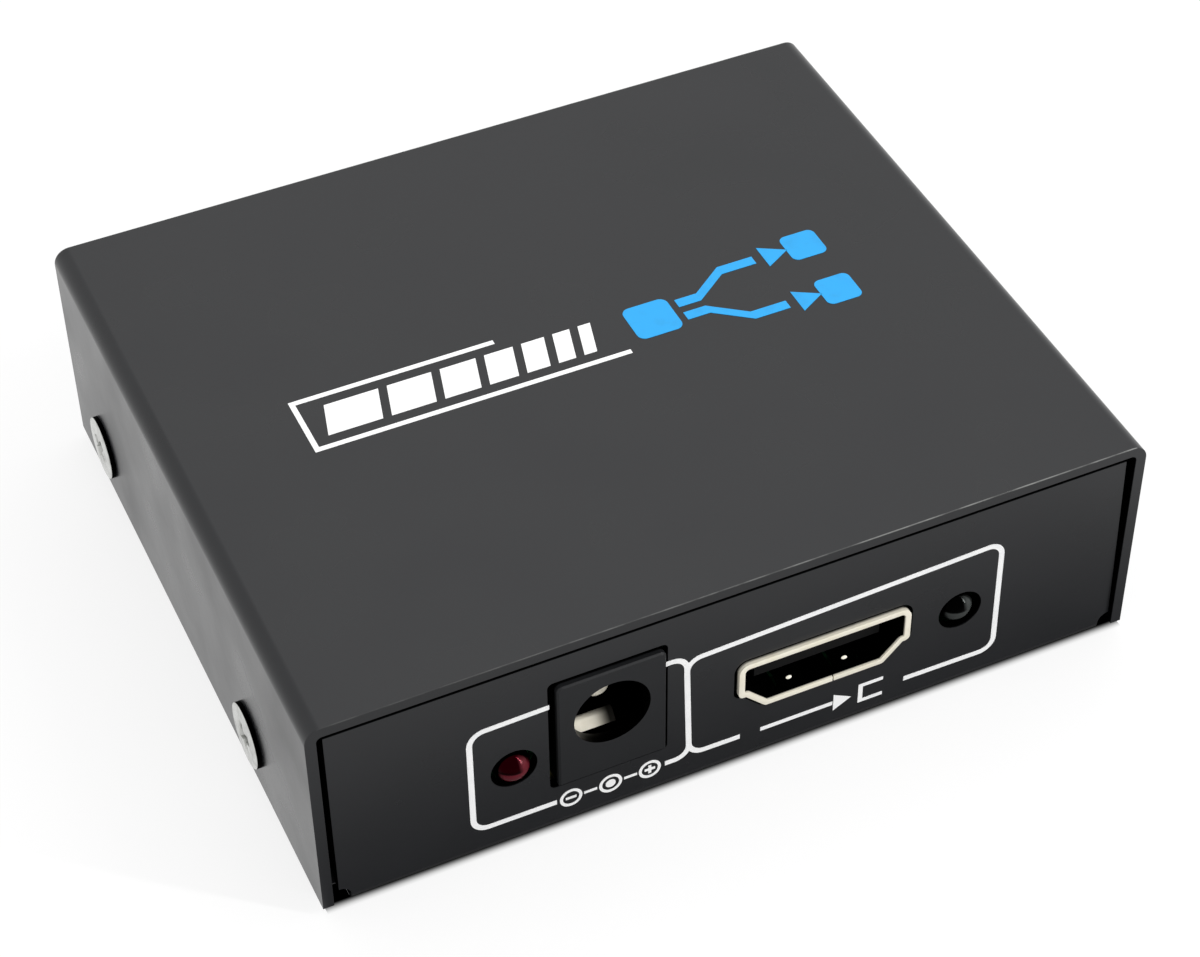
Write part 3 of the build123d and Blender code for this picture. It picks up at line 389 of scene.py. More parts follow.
@dataclass(frozen=True)
class PowderCoat(Finish):
    """Black polyester powder, baked on folded steel: satin, with a faint orange peel, rubbed edges with a
    painted highlight, and painted shade where marked.
    """

    name: str = "powder_coated_steel"
    colour: str = "#161719"
    light_colour: str = "#1b1c1f"
    roughness: float = 0.3
    fixed: tuple[tuple[str, float], ...] = (("Specular IOR Level", 0.37),)
    painted_shade_colour: str = "#010101"
    peel_mm: float = 0.8
    grit_mm: float = 0.16
    peel_height_mm: float = 0.02
    cloud_mm: float = 11.0
    gloss_swing: float = 0.05
    # The rubbed rim is partly real wear, in patches, and partly a painted highlight that grows toward the
    # right
    rub_patch_mm: float = 3.0
    rub_highlight_colour: str = "#8f908e"
    rub_y_mm: tuple[float, float] = (29.41, 29.46)
    rub_z_mm: tuple[float, float] = (20.66, 20.71)
    highlight_x_mm: tuple[float, float] = (-24.0, 24.0)

    def paint(self, tree: bpy.types.NodeTree, shader: bpy.types.Node, place: bpy.types.NodeSocket) -> None:
        """Paint clouds, orange peel, the rubbed and highlighted rim of the sheet, and painted shade.

        Args:
            tree: The material's nodes.
            shader: The Principled shader.
            place: Object coordinates in metres.
        """
        cloud = add_node(
            tree, "ShaderNodeTexNoise", {"Scale": per_metre(self.cloud_mm), "Detail": 3.0}, {"Vector": place}
        )
        peel = add_node(
            tree, "ShaderNodeTexNoise", {"Scale": per_metre(self.peel_mm), "Detail": 1.0}, {"Vector": place}
        )
        grit = add_node(
            tree, "ShaderNodeTexNoise", {"Scale": per_metre(self.grit_mm), "Detail": 2.0}, {"Vector": place}
        )
        coat = add_node(
            tree,
            "ShaderNodeMix",
            {"data_type": "RGBA", 6: linear(self.colour), 7: linear(self.light_colour)},
            {0: cloud.outputs["Fac"]},
        )
        gloss = add_node(
            tree,
            "ShaderNodeMapRange",
            {
                "From Min": 0.3,
                "From Max": 0.7,
                "To Min": self.roughness - self.gloss_swing,
                "To Max": self.roughness + self.gloss_swing,
            },
            {"Value": cloud.outputs["Fac"]},
        )
        height = add_node(
            tree,
            "ShaderNodeMix",
            {"data_type": "FLOAT", 0: 0.35},
            {2: peel.outputs["Fac"], 3: grit.outputs["Fac"]},
        )
        bump = add_node(
            tree,
            "ShaderNodeBump",
            {"Strength": 0.35, "Distance": self.peel_height_mm * MM},
            {"Height": height.outputs[0]},
        )
        colour = self.rub_and_highlight(tree, place, coat.outputs[2])
        # Painted shade: marked points turn black, rough and fully metallic, so that they reflect nothing
        deep = add_node(tree, "ShaderNodeAttribute", {"attribute_name": PAINTED_SHADE}).outputs["Fac"]
        inside = add_node(
            tree, "ShaderNodeMix", {"data_type": "RGBA", 7: linear(self.painted_shade_colour)}, {0: deep, 6: colour}
        )
        dull = add_node(tree, "ShaderNodeMath", {"operation": "MAXIMUM"}, {0: gloss.outputs[0], 1: deep})
        tree.links.new(inside.outputs[2], shader.inputs["Base Color"])
        tree.links.new(dull.outputs[0], shader.inputs["Roughness"])
        tree.links.new(deep, shader.inputs["Metallic"])
        tree.links.new(bump.outputs["Normal"], shader.inputs["Normal"])

    def rub_and_highlight(
        self, tree: bpy.types.NodeTree, place: bpy.types.NodeSocket, coat: bpy.types.NodeSocket
    ) -> bpy.types.NodeSocket:
        """Thin the powder along the cover's front and rear rims, in patches, and paint a highlight there that
        grows toward the right.

        Args:
            tree: The material's nodes.
            place: Object coordinates in metres.
            coat: The colour of the whole coat.

        Returns:
            The colour with the rims rubbed and with the painted highlight.
        """
        axes = add_node(tree, "ShaderNodeSeparateXYZ", links={"Vector": place})
        out = add_node(tree, "ShaderNodeMath", {"operation": "ABSOLUTE"}, {0: axes.outputs["Y"]})
        rim = add_node(
            tree,
            "ShaderNodeMapRange",
            {"From Min": self.rub_y_mm[0] * MM, "From Max": self.rub_y_mm[1] * MM},
            {"Value": out.outputs[0]},
        )
        top = add_node(
            tree,
            "ShaderNodeMapRange",
            {"From Min": self.rub_z_mm[0] * MM, "From Max": self.rub_z_mm[1] * MM},
            {"Value": axes.outputs["Z"]},
        )
        patch = add_node(
            tree,
            "ShaderNodeTexNoise",
            {"Scale": per_metre(self.rub_patch_mm), "Detail": 4.0},
            {"Vector": place},
        )
        wear_and_painted_light = add_node(
            tree,
            "ShaderNodeMapRange",
            {"From Min": 0.42, "From Max": 0.6, "To Min": 0.25, "To Max": 1.0},
            {"Value": patch.outputs["Fac"]},
        )
        # Painted highlight: the rubbed rim grows brighter toward the right, where the light falls
        right = add_node(
            tree,
            "ShaderNodeMapRange",
            {
                "From Min": self.highlight_x_mm[0] * MM,
                "From Max": self.highlight_x_mm[1] * MM,
                "To Min": 0.12,
                "To Max": 0.9,
            },
            {"Value": axes.outputs["X"]},
        )
        wear_and_painted_light = add_node(
            tree, "ShaderNodeMath", {"operation": "MULTIPLY"}, {0: wear_and_painted_light.outputs[0], 1: right.outputs[0]}
        )
        edge = add_node(
            tree, "ShaderNodeMath", {"operation": "MULTIPLY"}, {0: rim.outputs[0], 1: top.outputs[0]}
        )
        mask = add_node(
            tree, "ShaderNodeMath", {"operation": "MULTIPLY"}, {0: edge.outputs[0], 1: wear_and_painted_light.outputs[0]}
        )
        mixed = add_node(
            tree,
            "ShaderNodeMix",
            {"data_type": "RGBA", 7: linear(self.rub_highlight_colour)},
            {0: mask.outputs[0], 6: coat},
        )
        return mixed.outputs[2]


@dataclass(frozen=True)
class PlatedMetal(Finish):
    """Plated or tinned metal: bright, with a drawn grain and a slightly uneven tone."""

    metallic: float = 1.0
    tarnish: str = "#8d8778"
    grain_mm: tuple[float, float, float] = (0.06, 2.0, 0.06)
    patch_mm: float = 1.5
    grain_depth: float = 0.15
    grain_height_mm: float = 0.01
    painted_shade_colour: str = "#010101"

    def paint(self, tree: bpy.types.NodeTree, shader: bpy.types.Node, place: bpy.types.NodeSocket) -> None:
        """Paint the grain of the drawn sheet, the patches in the plating, and painted shade where marked.

        Args:
            tree: The material's nodes.
            shader: The Principled shader.
            place: Object coordinates in metres.
        """
        drawn = add_node(
            tree,
            "ShaderNodeMapping",
            {"Scale": tuple(per_metre(size) for size in self.grain_mm)},
            {"Vector": place},
        )
        grain = add_node(
            tree, "ShaderNodeTexNoise", {"Scale": 1.0, "Detail": 2.0}, {"Vector": drawn.outputs["Vector"]}
        )
        patch = add_node(
            tree, "ShaderNodeTexNoise", {"Scale": per_metre(self.patch_mm), "Detail": 3.0}, {"Vector": place}
        )
        tone = add_node(
            tree,
            "ShaderNodeMapRange",
            {"From Min": 0.45, "From Max": 0.75, "To Max": 0.6},
            {"Value": patch.outputs["Fac"]},
        )
        tarnished = add_node(
            tree,
            "ShaderNodeMix",
            {"data_type": "RGBA", 6: linear(self.colour), 7: linear(self.tarnish)},
            {0: tone.outputs[0]},
        )
        # Painted shade: marked points turn black, rough and fully metallic, so that they reflect nothing
        deep = add_node(tree, "ShaderNodeAttribute", {"attribute_name": PAINTED_SHADE})
        colour = add_node(
            tree,
            "ShaderNodeMix",
            {"data_type": "RGBA", 7: linear(self.painted_shade_colour)},
            {0: deep.outputs["Fac"], 6: tarnished.outputs[2]},
        )
        gloss = add_node(
            tree,
            "ShaderNodeMapRange",
            {"To Min": self.roughness - 0.06, "To Max": self.roughness + 0.1},
            {"Value": patch.outputs["Fac"]},
        )
        dull = add_node(
            tree, "ShaderNodeMath", {"operation": "MAXIMUM"}, {0: gloss.outputs[0], 1: deep.outputs["Fac"]}
        )
        bare = add_node(
            tree,
            "ShaderNodeMath",
            {"operation": "MAXIMUM", 0: self.metallic},
            {1: deep.outputs["Fac"]},
        )
        bump = add_node(
            tree,
            "ShaderNodeBump",
            {"Strength": self.grain_depth, "Distance": self.grain_height_mm * MM},
            {"Height": grain.outputs["Fac"]},
        )
        tree.links.new(bare.outputs[0], shader.inputs["Metallic"])
        tree.links.new(colour.outputs[2], shader.inputs["Base Color"])
        tree.links.new(dull.outputs[0], shader.inputs["Roughness"])
        tree.links.new(bump.outputs["Normal"], shader.inputs["Normal"])


@dataclass(frozen=True)
class MouldedPlastic(Finish):
    """Injection-moulded plastic: the spark-eroded grain of the mould, and slow changes of tone.

    The grain is drawn coarser than the real one, which is too fine to show.
    """

    grain_mm: float = 0.12
    grain_height_mm: float = 0.012
    flow_mm: float = 4.0
    flow_colour: str = "#232427"
    painted_shade_colour: str = "#010101"

    def paint(self, tree: bpy.types.NodeTree, shader: bpy.types.Node, place: bpy.types.NodeSocket) -> None:
        """Paint the mould's grain, the flow of the melt, and painted shade where marked.

        Args:
            tree: The material's nodes.
            shader: The Principled shader.
            place: Object coordinates in metres.
        """
        flow = add_node(
            tree, "ShaderNodeTexNoise", {"Scale": per_metre(self.flow_mm), "Detail": 2.0}, {"Vector": place}
        )
        grain = add_node(
            tree, "ShaderNodeTexNoise", {"Scale": per_metre(self.grain_mm), "Detail": 2.0}, {"Vector": place}
        )
        colour = add_node(
            tree,
            "ShaderNodeMix",
            {"data_type": "RGBA", 6: linear(self.colour), 7: linear(self.flow_colour)},
            {0: flow.outputs["Fac"]},
        )
        # Painted shade: marked points take the painted shade colour and turn fully metallic, so that they
        # reflect little
        deep = add_node(tree, "ShaderNodeAttribute", {"attribute_name": PAINTED_SHADE})
        colour = add_node(
            tree,
            "ShaderNodeMix",
            {"data_type": "RGBA", 7: linear(self.painted_shade_colour)},
            {0: deep.outputs["Fac"], 6: colour.outputs[2]},
        )
        bump = add_node(
            tree,
            "ShaderNodeBump",
            {"Strength": 0.3, "Distance": self.grain_height_mm * MM},
            {"Height": grain.outputs["Fac"]},
        )
        tree.links.new(colour.outputs[2], shader.inputs["Base Color"])
        tree.links.new(deep.outputs["Fac"], shader.inputs["Metallic"])
        tree.links.new(bump.outputs["Normal"], shader.inputs["Normal"])


@dataclass(frozen=True)
class BoardMask(Finish):
    """Green solder mask over copper tracks on glass laminate, whose bare cut edges are darkened as painted
    shade.
    """

    name: str = "solder_mask"
    colour: str = "#0f4a2c"
    roughness: float = 0.28
    second_colour: str = "#12532f"
    track_colour: str = "#1d6b40"
    shaded_edge_colour: str = "#4a4526"
    track_pitch_mm: float = 0.9
    track_height_mm: float = 0.03
    edge_x_mm: float = 30.36
    edge_y_mm: float = 27.66

    def paint(self, tree: bpy.types.NodeTree, shader: bpy.types.Node, place: bpy.types.NodeSocket) -> None:
        """Paint the tracks under the mask, and the bare edge of the laminate darkened as painted shade.

        Args:
            tree: The material's nodes.
            shader: The Principled shader.
            place: Object coordinates in metres.
        """
        tracks = add_node(
            tree,
            "ShaderNodeTexBrick",
            {
                "Scale": per_metre(self.track_pitch_mm) / 2,
                "Color1": linear(self.colour),
                "Color2": linear(self.second_colour),
                "Mortar": linear(self.track_colour),
                "Mortar Size": 0.09,
                "Brick Width": 7.0,
                "Row Height": 0.5,
                "offset": 0.37,
            },
            {"Vector": place},
        )
        axes = add_node(tree, "ShaderNodeSeparateXYZ", links={"Vector": place})
        sides = []
        for axis, limit in (("X", self.edge_x_mm), ("Y", self.edge_y_mm)):
            out = add_node(tree, "ShaderNodeMath", {"operation": "ABSOLUTE"}, {0: axes.outputs[axis]})
            sides.append(
                add_node(
                    tree, "ShaderNodeMath", {"operation": "GREATER_THAN", 1: limit * MM}, {0: out.outputs[0]}
                )
            )
        edge = add_node(
            tree, "ShaderNodeMath", {"operation": "MAXIMUM"}, {0: sides[0].outputs[0], 1: sides[1].outputs[0]}
        )
        # Painted shade: the bare edge of the laminate is given a dark colour
        colour = add_node(
            tree,
            "ShaderNodeMix",
            {"data_type": "RGBA", 7: linear(self.shaded_edge_colour)},
            {0: edge.outputs[0], 6: tracks.outputs["Color"]},
        )
        bump = add_node(
            tree,
            "ShaderNodeBump",
            {"Strength": 0.4, "Distance": self.track_height_mm * MM, "invert": True},
            {"Height": tracks.outputs["Fac"]},
        )
        tree.links.new(colour.outputs[2], shader.inputs["Base Color"])
        tree.links.new(bump.outputs["Normal"], shader.inputs["Normal"])


@dataclass(frozen=True)
class ScreenInk(Finish):
    """Screen-printed ink: flat, with the fine mesh of the screen left in its surface.

    The mesh is drawn coarser than the real one, which is too fine to show.
    """

    roughness: float = 0.5
    mesh_mm: float = 0.2
    mesh_height_mm: float = 0.01
    thin_patch_mm: float = 1.6
    thin_colour: str = "#c9cdd0"

    def paint(self, tree: bpy.types.NodeTree, shader: bpy.types.Node, place: bpy.types.NodeSocket) -> None:
        """Paint thin places in the ink and the screen's mesh.

        Args:
            tree: The material's nodes.
            shader: The Principled shader.
            place: Object coordinates in metres.
        """
        thin = add_node(
            tree,
            "ShaderNodeTexNoise",
            {"Scale": per_metre(self.thin_patch_mm), "Detail": 4.0},
            {"Vector": place},
        )
        amount = add_node(
            tree,
            "ShaderNodeMapRange",
            {"From Min": 0.5, "From Max": 0.8, "To Max": 0.5},
            {"Value": thin.outputs["Fac"]},
        )
        mesh = add_node(
            tree, "ShaderNodeTexNoise", {"Scale": per_metre(self.mesh_mm), "Detail": 1.0}, {"Vector": place}
        )
        colour = add_node(
            tree,
            "ShaderNodeMix",
            {"data_type": "RGBA", 6: linear(self.colour), 7: linear(self.thin_colour)},
            {0: amount.outputs[0]},
        )
        bump = add_node(
            tree,
            "ShaderNodeBump",
            {"Strength": 0.2, "Distance": self.mesh_height_mm * MM},
            {"Height": mesh.outputs["Fac"]},
        )
        tree.links.new(colour.outputs[2], shader.inputs["Base Color"])
        tree.links.new(bump.outputs["Normal"], shader.inputs["Normal"])


# What each of the record's slots is made of

SLOT_FINISHES: dict[str, Finish] = {
    # Polyester powder, baked: satin black
    "black_powder_coat": PowderCoat(),
    # Bright zinc on steel screws: near white, sharp reflections, grain drawn coarse enough to show
    "plated_screw": PlatedMetal(
        "zinc_plated_screw", "#c9cac7", 0.26, tarnish="#83837f", grain_mm=(0.9, 0.12, 0.9), patch_mm=0.9,
        grain_depth=0.5,
    ),
    # Tin-plated or turned steel: grey and soft
    "plain_steel": PlatedMetal("turned_steel", "#a9a9a6", 0.32, tarnish="#85827a"),
    # Nickel over phosphor bronze and steel shells: warm and pale
    "nickel_shell": PlatedMetal(
        "nickel_plate", "#fdf7e6", 0.34, metallic=0.12, tarnish="#f0e8d0", grain_depth=0.06,
    ),
    # Nylon of the jack: near black, dull
    "jack_plastic": MouldedPlastic(
        "jack_nylon", "#18191b", 0.5, flow_colour="#1c1d1f", fixed=(("Specular IOR Level", 0.25),)
    ),
    # Liquid-crystal polymer of the tongues: black with a slight gloss
    "insulator_plastic": MouldedPlastic(
        "socket_polymer", "#060607", 0.5, flow_colour="#0a0a0b", fixed=(("Specular IOR Level", 0.15),)
    ),
    # Gold flash on the contacts
    "contact_gold": PlatedMetal("gold_flash", "#d8b066", 0.22, tarnish="#a8823f"),
    # Red-tinted, slightly milky epoxy
    "red_lens": MouldedPlastic(
        "red_epoxy", "#661e29", 0.12, flow_colour="#5c1520", painted_shade_colour="#1c0003", grain_mm=1.5,
        fixed=(("IOR", 1.5), ("Specular IOR Level", 0.12)),
    ),
    # Water-clear epoxy, coloured dark grey as painted shade, with little light let through
    "clear_lens": MouldedPlastic(
        "clear_epoxy", "#444746", 0.12, flow_colour="#3a3d3c", painted_shade_colour="#020202", grain_mm=1.5,
        fixed=(("IOR", 1.5), ("Transmission Weight", 0.1), ("Specular IOR Level", 0.05)),
    ),
    # Solder mask on glass laminate
    "board_laminate": BoardMask(),
    # Moulded epoxy of the chips: charcoal, very fine grain
    "chip_plastic": MouldedPlastic("chip_epoxy", "#242424", 0.55, flow_colour="#2c2c2c", grain_mm=0.08),
    # Tinned copper leads and legs
    "tinned_lead": PlatedMetal("tinned_copper", "#c2c1bb", 0.28, tarnish="#96938a"),
    # Sintered ferrite: dark grey ceramic
    "ferrite": MouldedPlastic("ferrite", "#3c3c40", 0.6, flow_colour="#333338", grain_mm=0.15),
    # Drawn aluminium cans
    "can_aluminium": PlatedMetal("drawn_aluminium", "#c6c8ca", 0.3, tarnish="#a9abad"),
    # Bases of the cans
    "can_base_plastic": MouldedPlastic("can_base", "#1c1c1e", 0.5),
    # Barium titanate chips: tan
    "ceramic_body": MouldedPlastic("fired_ceramic", "#a07a4f", 0.4, flow_colour="#8e6a42"),
    # Glass-coated resistor film: near black, glossy
    "resistor_body": MouldedPlastic("resistor_glaze", "#17181b", 0.25, flow_colour="#1e1f22"),
    # Polymer fuse: green
    "fuse_body": MouldedPlastic("fuse_polymer", "#2c6a3a", 0.4, flow_colour="#245a31"),
}

WHITE_INK = ScreenInk("white_ink", "#ffffff", thin_colour="#e4e8ea")
# Plated posts inside the lenses, coloured dark grey as painted shade, so that a light that is off looks dark
SHADED_LEAD_FRAME = PlatedMetal("shaded_lead_frame", "#3c3c3b", 0.5, tarnish="#2e2e2c")
BLUE_INK = ScreenInk("blue_ink", "#0aa6ee", thin_colour="#0b8fce")


# The box


@dataclass
class SteelBox:
    """The folded cover and base, with the sheared edges rounded by the coat, and painted shade on the faces
    inside the box.
    """

    cover_edge_mm: float = 0.07
    base_edge_mm: float = 0.06
    segments: int = 2
    rim_mm: float = 0.13
    skin_mm: float = 0.02
    bend_mm: float = 0.75

    def build(self, frame: dict, materials: dict[str, bpy.types.Material]) -> None:
        """Build both sheets.

        Args:
            frame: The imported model.
            materials: A material for each slot.
        """
        cover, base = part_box("top_cover")[1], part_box("base_chassis")[1]
        # The cover's inner faces lie deeper than half the step from its top to the panels' tops
        shallow = (cover[2] - base[2]) / 2 - self.skin_mm * MM
        rim = (self.rim_mm - self.skin_mm) * MM

        def under_cover(place: Vector) -> bool:
            """Tell whether a point is on the inner faces of the cover."""
            inside = abs(place.x) < cover[0] - shallow and place.z < cover[2] - shallow
            return inside and abs(place.y) < cover[1] - rim

        def behind_panel(place: Vector) -> bool:
            """Tell whether a point of the base is behind the front faces of its panels."""
            return abs(place.y) < base[1] - rim and place.z > self.bend_mm * MM

        for node, name, edge, in_painted_shade in (
            ("top_cover", "cover_sheet", self.cover_edge_mm, under_cover),
            ("base_chassis", "base_sheet", self.base_edge_mm, behind_panel),
        ):
            sheet = merged(frame["nodes"][node], name)
            front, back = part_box(node)[0][1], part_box(node)[1][1]
            with editing(sheet):
                cut_across("Y", (front + self.rim_mm * MM, back - self.rim_mm * MM), COARSE_CUT)
            round_edges(sheet, edge, self.segments)
            # Painted shade: the cover's inner faces and the base behind its panels turn black, so that the
            # gaps look unlit
            mark_painted_shade(sheet, lambda place, _, in_painted_shade=in_painted_shade: float(in_painted_shade(place)))
            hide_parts(node)
            hand_over(sheet, materials["black_powder_coat"], "black_powder_coat")


@dataclass
class ScrewSet:
    """Cross-recess screws with a thin domed head and a cut thread, modelled once and copied."""

    name: str
    node: str
    head_radius_mm: float
    rim_mm: float
    dome_mm: float
    shank_radius_mm: float
    shank_length_mm: float
    pitch_mm: float = 0.5
    recess_reach_mm: float = 1.55
    recess_width_mm: float = 1.0
    recess_depth_mm: float = 1.1
    rim_round_mm: float = 0.06
    ring_shares: tuple[float, ...] = (0.12, 0.18, 0.2, 0.2)
    recess_shade_mm: tuple[float, float] = (0.085, 0.13)
    sides: int = 64

    def at_rim(self, place: Vector) -> bool:
        """Tell whether a point lies as far out as the head's flank."""
        return math.hypot(place.x, place.y) > 0.99 * self.head_radius_mm * MM

    def head(self) -> bpy.types.Object:
        """Model the head: a disc with a rounded rim, a low dome and a cross recess.

        Returns:
            The head, standing on z = 0.
        """
        radius, rim = self.head_radius_mm * MM, self.rim_mm * MM
        bpy.ops.mesh.primitive_cylinder_add(
            vertices=self.sides, radius=radius, depth=rim, end_fill_type="NGON"
        )
        head = started(f"{self.name}_head")
        with editing(head):
            bpy.ops.transform.translate(value=(0, 0, rim / 2))
            choose(head, "FACE", lambda face: face.normal.z > UPRIGHT)
            for share in self.ring_shares:
                bpy.ops.mesh.inset(thickness=share * radius)
            choose(head, "VERT", lambda vert: vert.co.z > rim * 0.9)
            mesh = bmesh.from_edit_mesh(head.data)
            for vert in mesh.verts:
                if vert.select and not self.at_rim(vert.co):
                    vert.co.z += self.dome_mm * MM * (1 - (math.hypot(vert.co.x, vert.co.y) / radius) ** 2)
            bmesh.update_edit_mesh(head.data)
            choose(
                head,
                "EDGE",
                lambda edge: all(self.at_rim(vert.co) and vert.co.z > rim * 0.9 for vert in edge.verts),
            )
            bpy.ops.mesh.bevel(offset=self.rim_round_mm * MM, segments=3, affect="EDGES")
        return head

    def recess(self) -> bpy.types.Object:
        """Model what the cross driver takes out: two tapered blades and a point.

        Returns:
            The cutter, reaching from above the dome down into the shank.
        """
        top = (self.rim_mm + self.dome_mm + 0.3) * MM
        deep = top - (self.rim_mm + self.dome_mm - self.recess_depth_mm) * MM
        blades = []
        for turn in (0, 90):
            bpy.ops.mesh.primitive_cube_add(size=1, location=(0, 0, top - deep / 2))
            blade = started(f"{self.name}_blade_{turn}")
            with editing(blade):
                bpy.ops.transform.resize(
                    value=(2 * self.recess_reach_mm * MM, self.recess_width_mm * MM, deep)
                )
                choose(blade, "VERT", lambda vert: vert.co.z < 0)
                bpy.ops.transform.resize(value=(0.35, 0.6, 1))
                choose(blade, "EDGE", lambda edge: abs(edge.verts[0].co.z - edge.verts[1].co.z) > deep / 2)
                bpy.ops.mesh.bevel(offset=0.08 * MM, segments=2, affect="EDGES")
            turned = Matrix.Rotation(math.radians(turn), 4, "Z")
            settle(blade, turned @ Matrix.Translation((0, 0, top - deep / 2)))
            blades.append(blade)
        shape_with(blades[0], "BOOLEAN", operation="UNION", object=blades[1], solver="EXACT")
        bpy.data.objects.remove(blades[1])
        return blades[0]

    def shank(self) -> bpy.types.Object:
        """Model the shank with its thread as a stack of ridges.

        Returns:
            The shank, hanging from z = 0.
        """
        core = (self.shank_radius_mm - 0.31 * self.pitch_mm) * MM
        crest = self.shank_radius_mm * MM
        bpy.ops.mesh.primitive_circle_add(vertices=self.sides // 2, radius=core, fill_type="NGON")
        shank = started(f"{self.name}_shank")
        turns = int(self.shank_length_mm / self.pitch_mm) - 1
        lead = (self.shank_length_mm - turns * self.pitch_mm) * MM
        with editing(shank):
            bpy.ops.mesh.extrude_region_move(TRANSFORM_OT_translate={"value": (0, 0, -lead / 2)})
            for _ in range(turns):
                for share in (crest / core, core / crest):
                    bpy.ops.mesh.extrude_region_move(
                        TRANSFORM_OT_translate={"value": (0, 0, -self.pitch_mm / 2 * MM)}
                    )
                    bpy.ops.transform.resize(value=(share, share, 1))
            bpy.ops.mesh.extrude_region_move(TRANSFORM_OT_translate={"value": (0, 0, -lead / 2)})
            bpy.ops.transform.resize(value=(0.8, 0.8, 1))
            choose(shank, "EDGE", lambda edge: edge.is_boundary)
            bpy.ops.mesh.edge_face_add()
            bpy.ops.mesh.select_all(action="SELECT")
            bpy.ops.mesh.normals_make_consistent(inside=False)
        return shank

    def build(self, places: list[Matrix], material: bpy.types.Material, slot: str) -> None:
        """Build one screw and a copy at each place.

        Args:
            places: Where each head stands, with its axis out along +Z.
            material: The screws' material.
            slot: Their slot in the record.
        """
        head, shank, cutter = self.head(), self.shank(), self.recess()
        shape_with(head, "BOOLEAN", operation="UNION", object=shank, solver="EXACT")
        shape_with(head, "BOOLEAN", operation="DIFFERENCE", object=cutter, solver="EXACT")
        for spent in (shank, cutter):
            bpy.data.objects.remove(spent)
        smooth(head, 30)
        crown, rim = (self.rim_mm + self.dome_mm) * MM, self.rim_mm * MM

        def share(place: Vector, _: Vector) -> float:
            """Give the painted shade at a point: in the recess, and on the flank under the coat's edge."""
            if self.at_rim(place) and place.z < rim - self.rim_round_mm * MM * 0.9:
                return 1.0
            reach = math.hypot(place.x, place.y) / (self.head_radius_mm * MM)
            return ramp((crown - place.z) / MM, self.recess_shade_mm) if reach < 0.75 else 0.0

        mark_painted_shade(head, share)
        for number, place in enumerate(places, 1):
            screw = copied(head, f"{self.name}_{number}")
            settle(screw, place)
            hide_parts(self.node)
            hand_over(screw, material, slot)
        bpy.data.objects.remove(head)


# Sockets, jack and lights


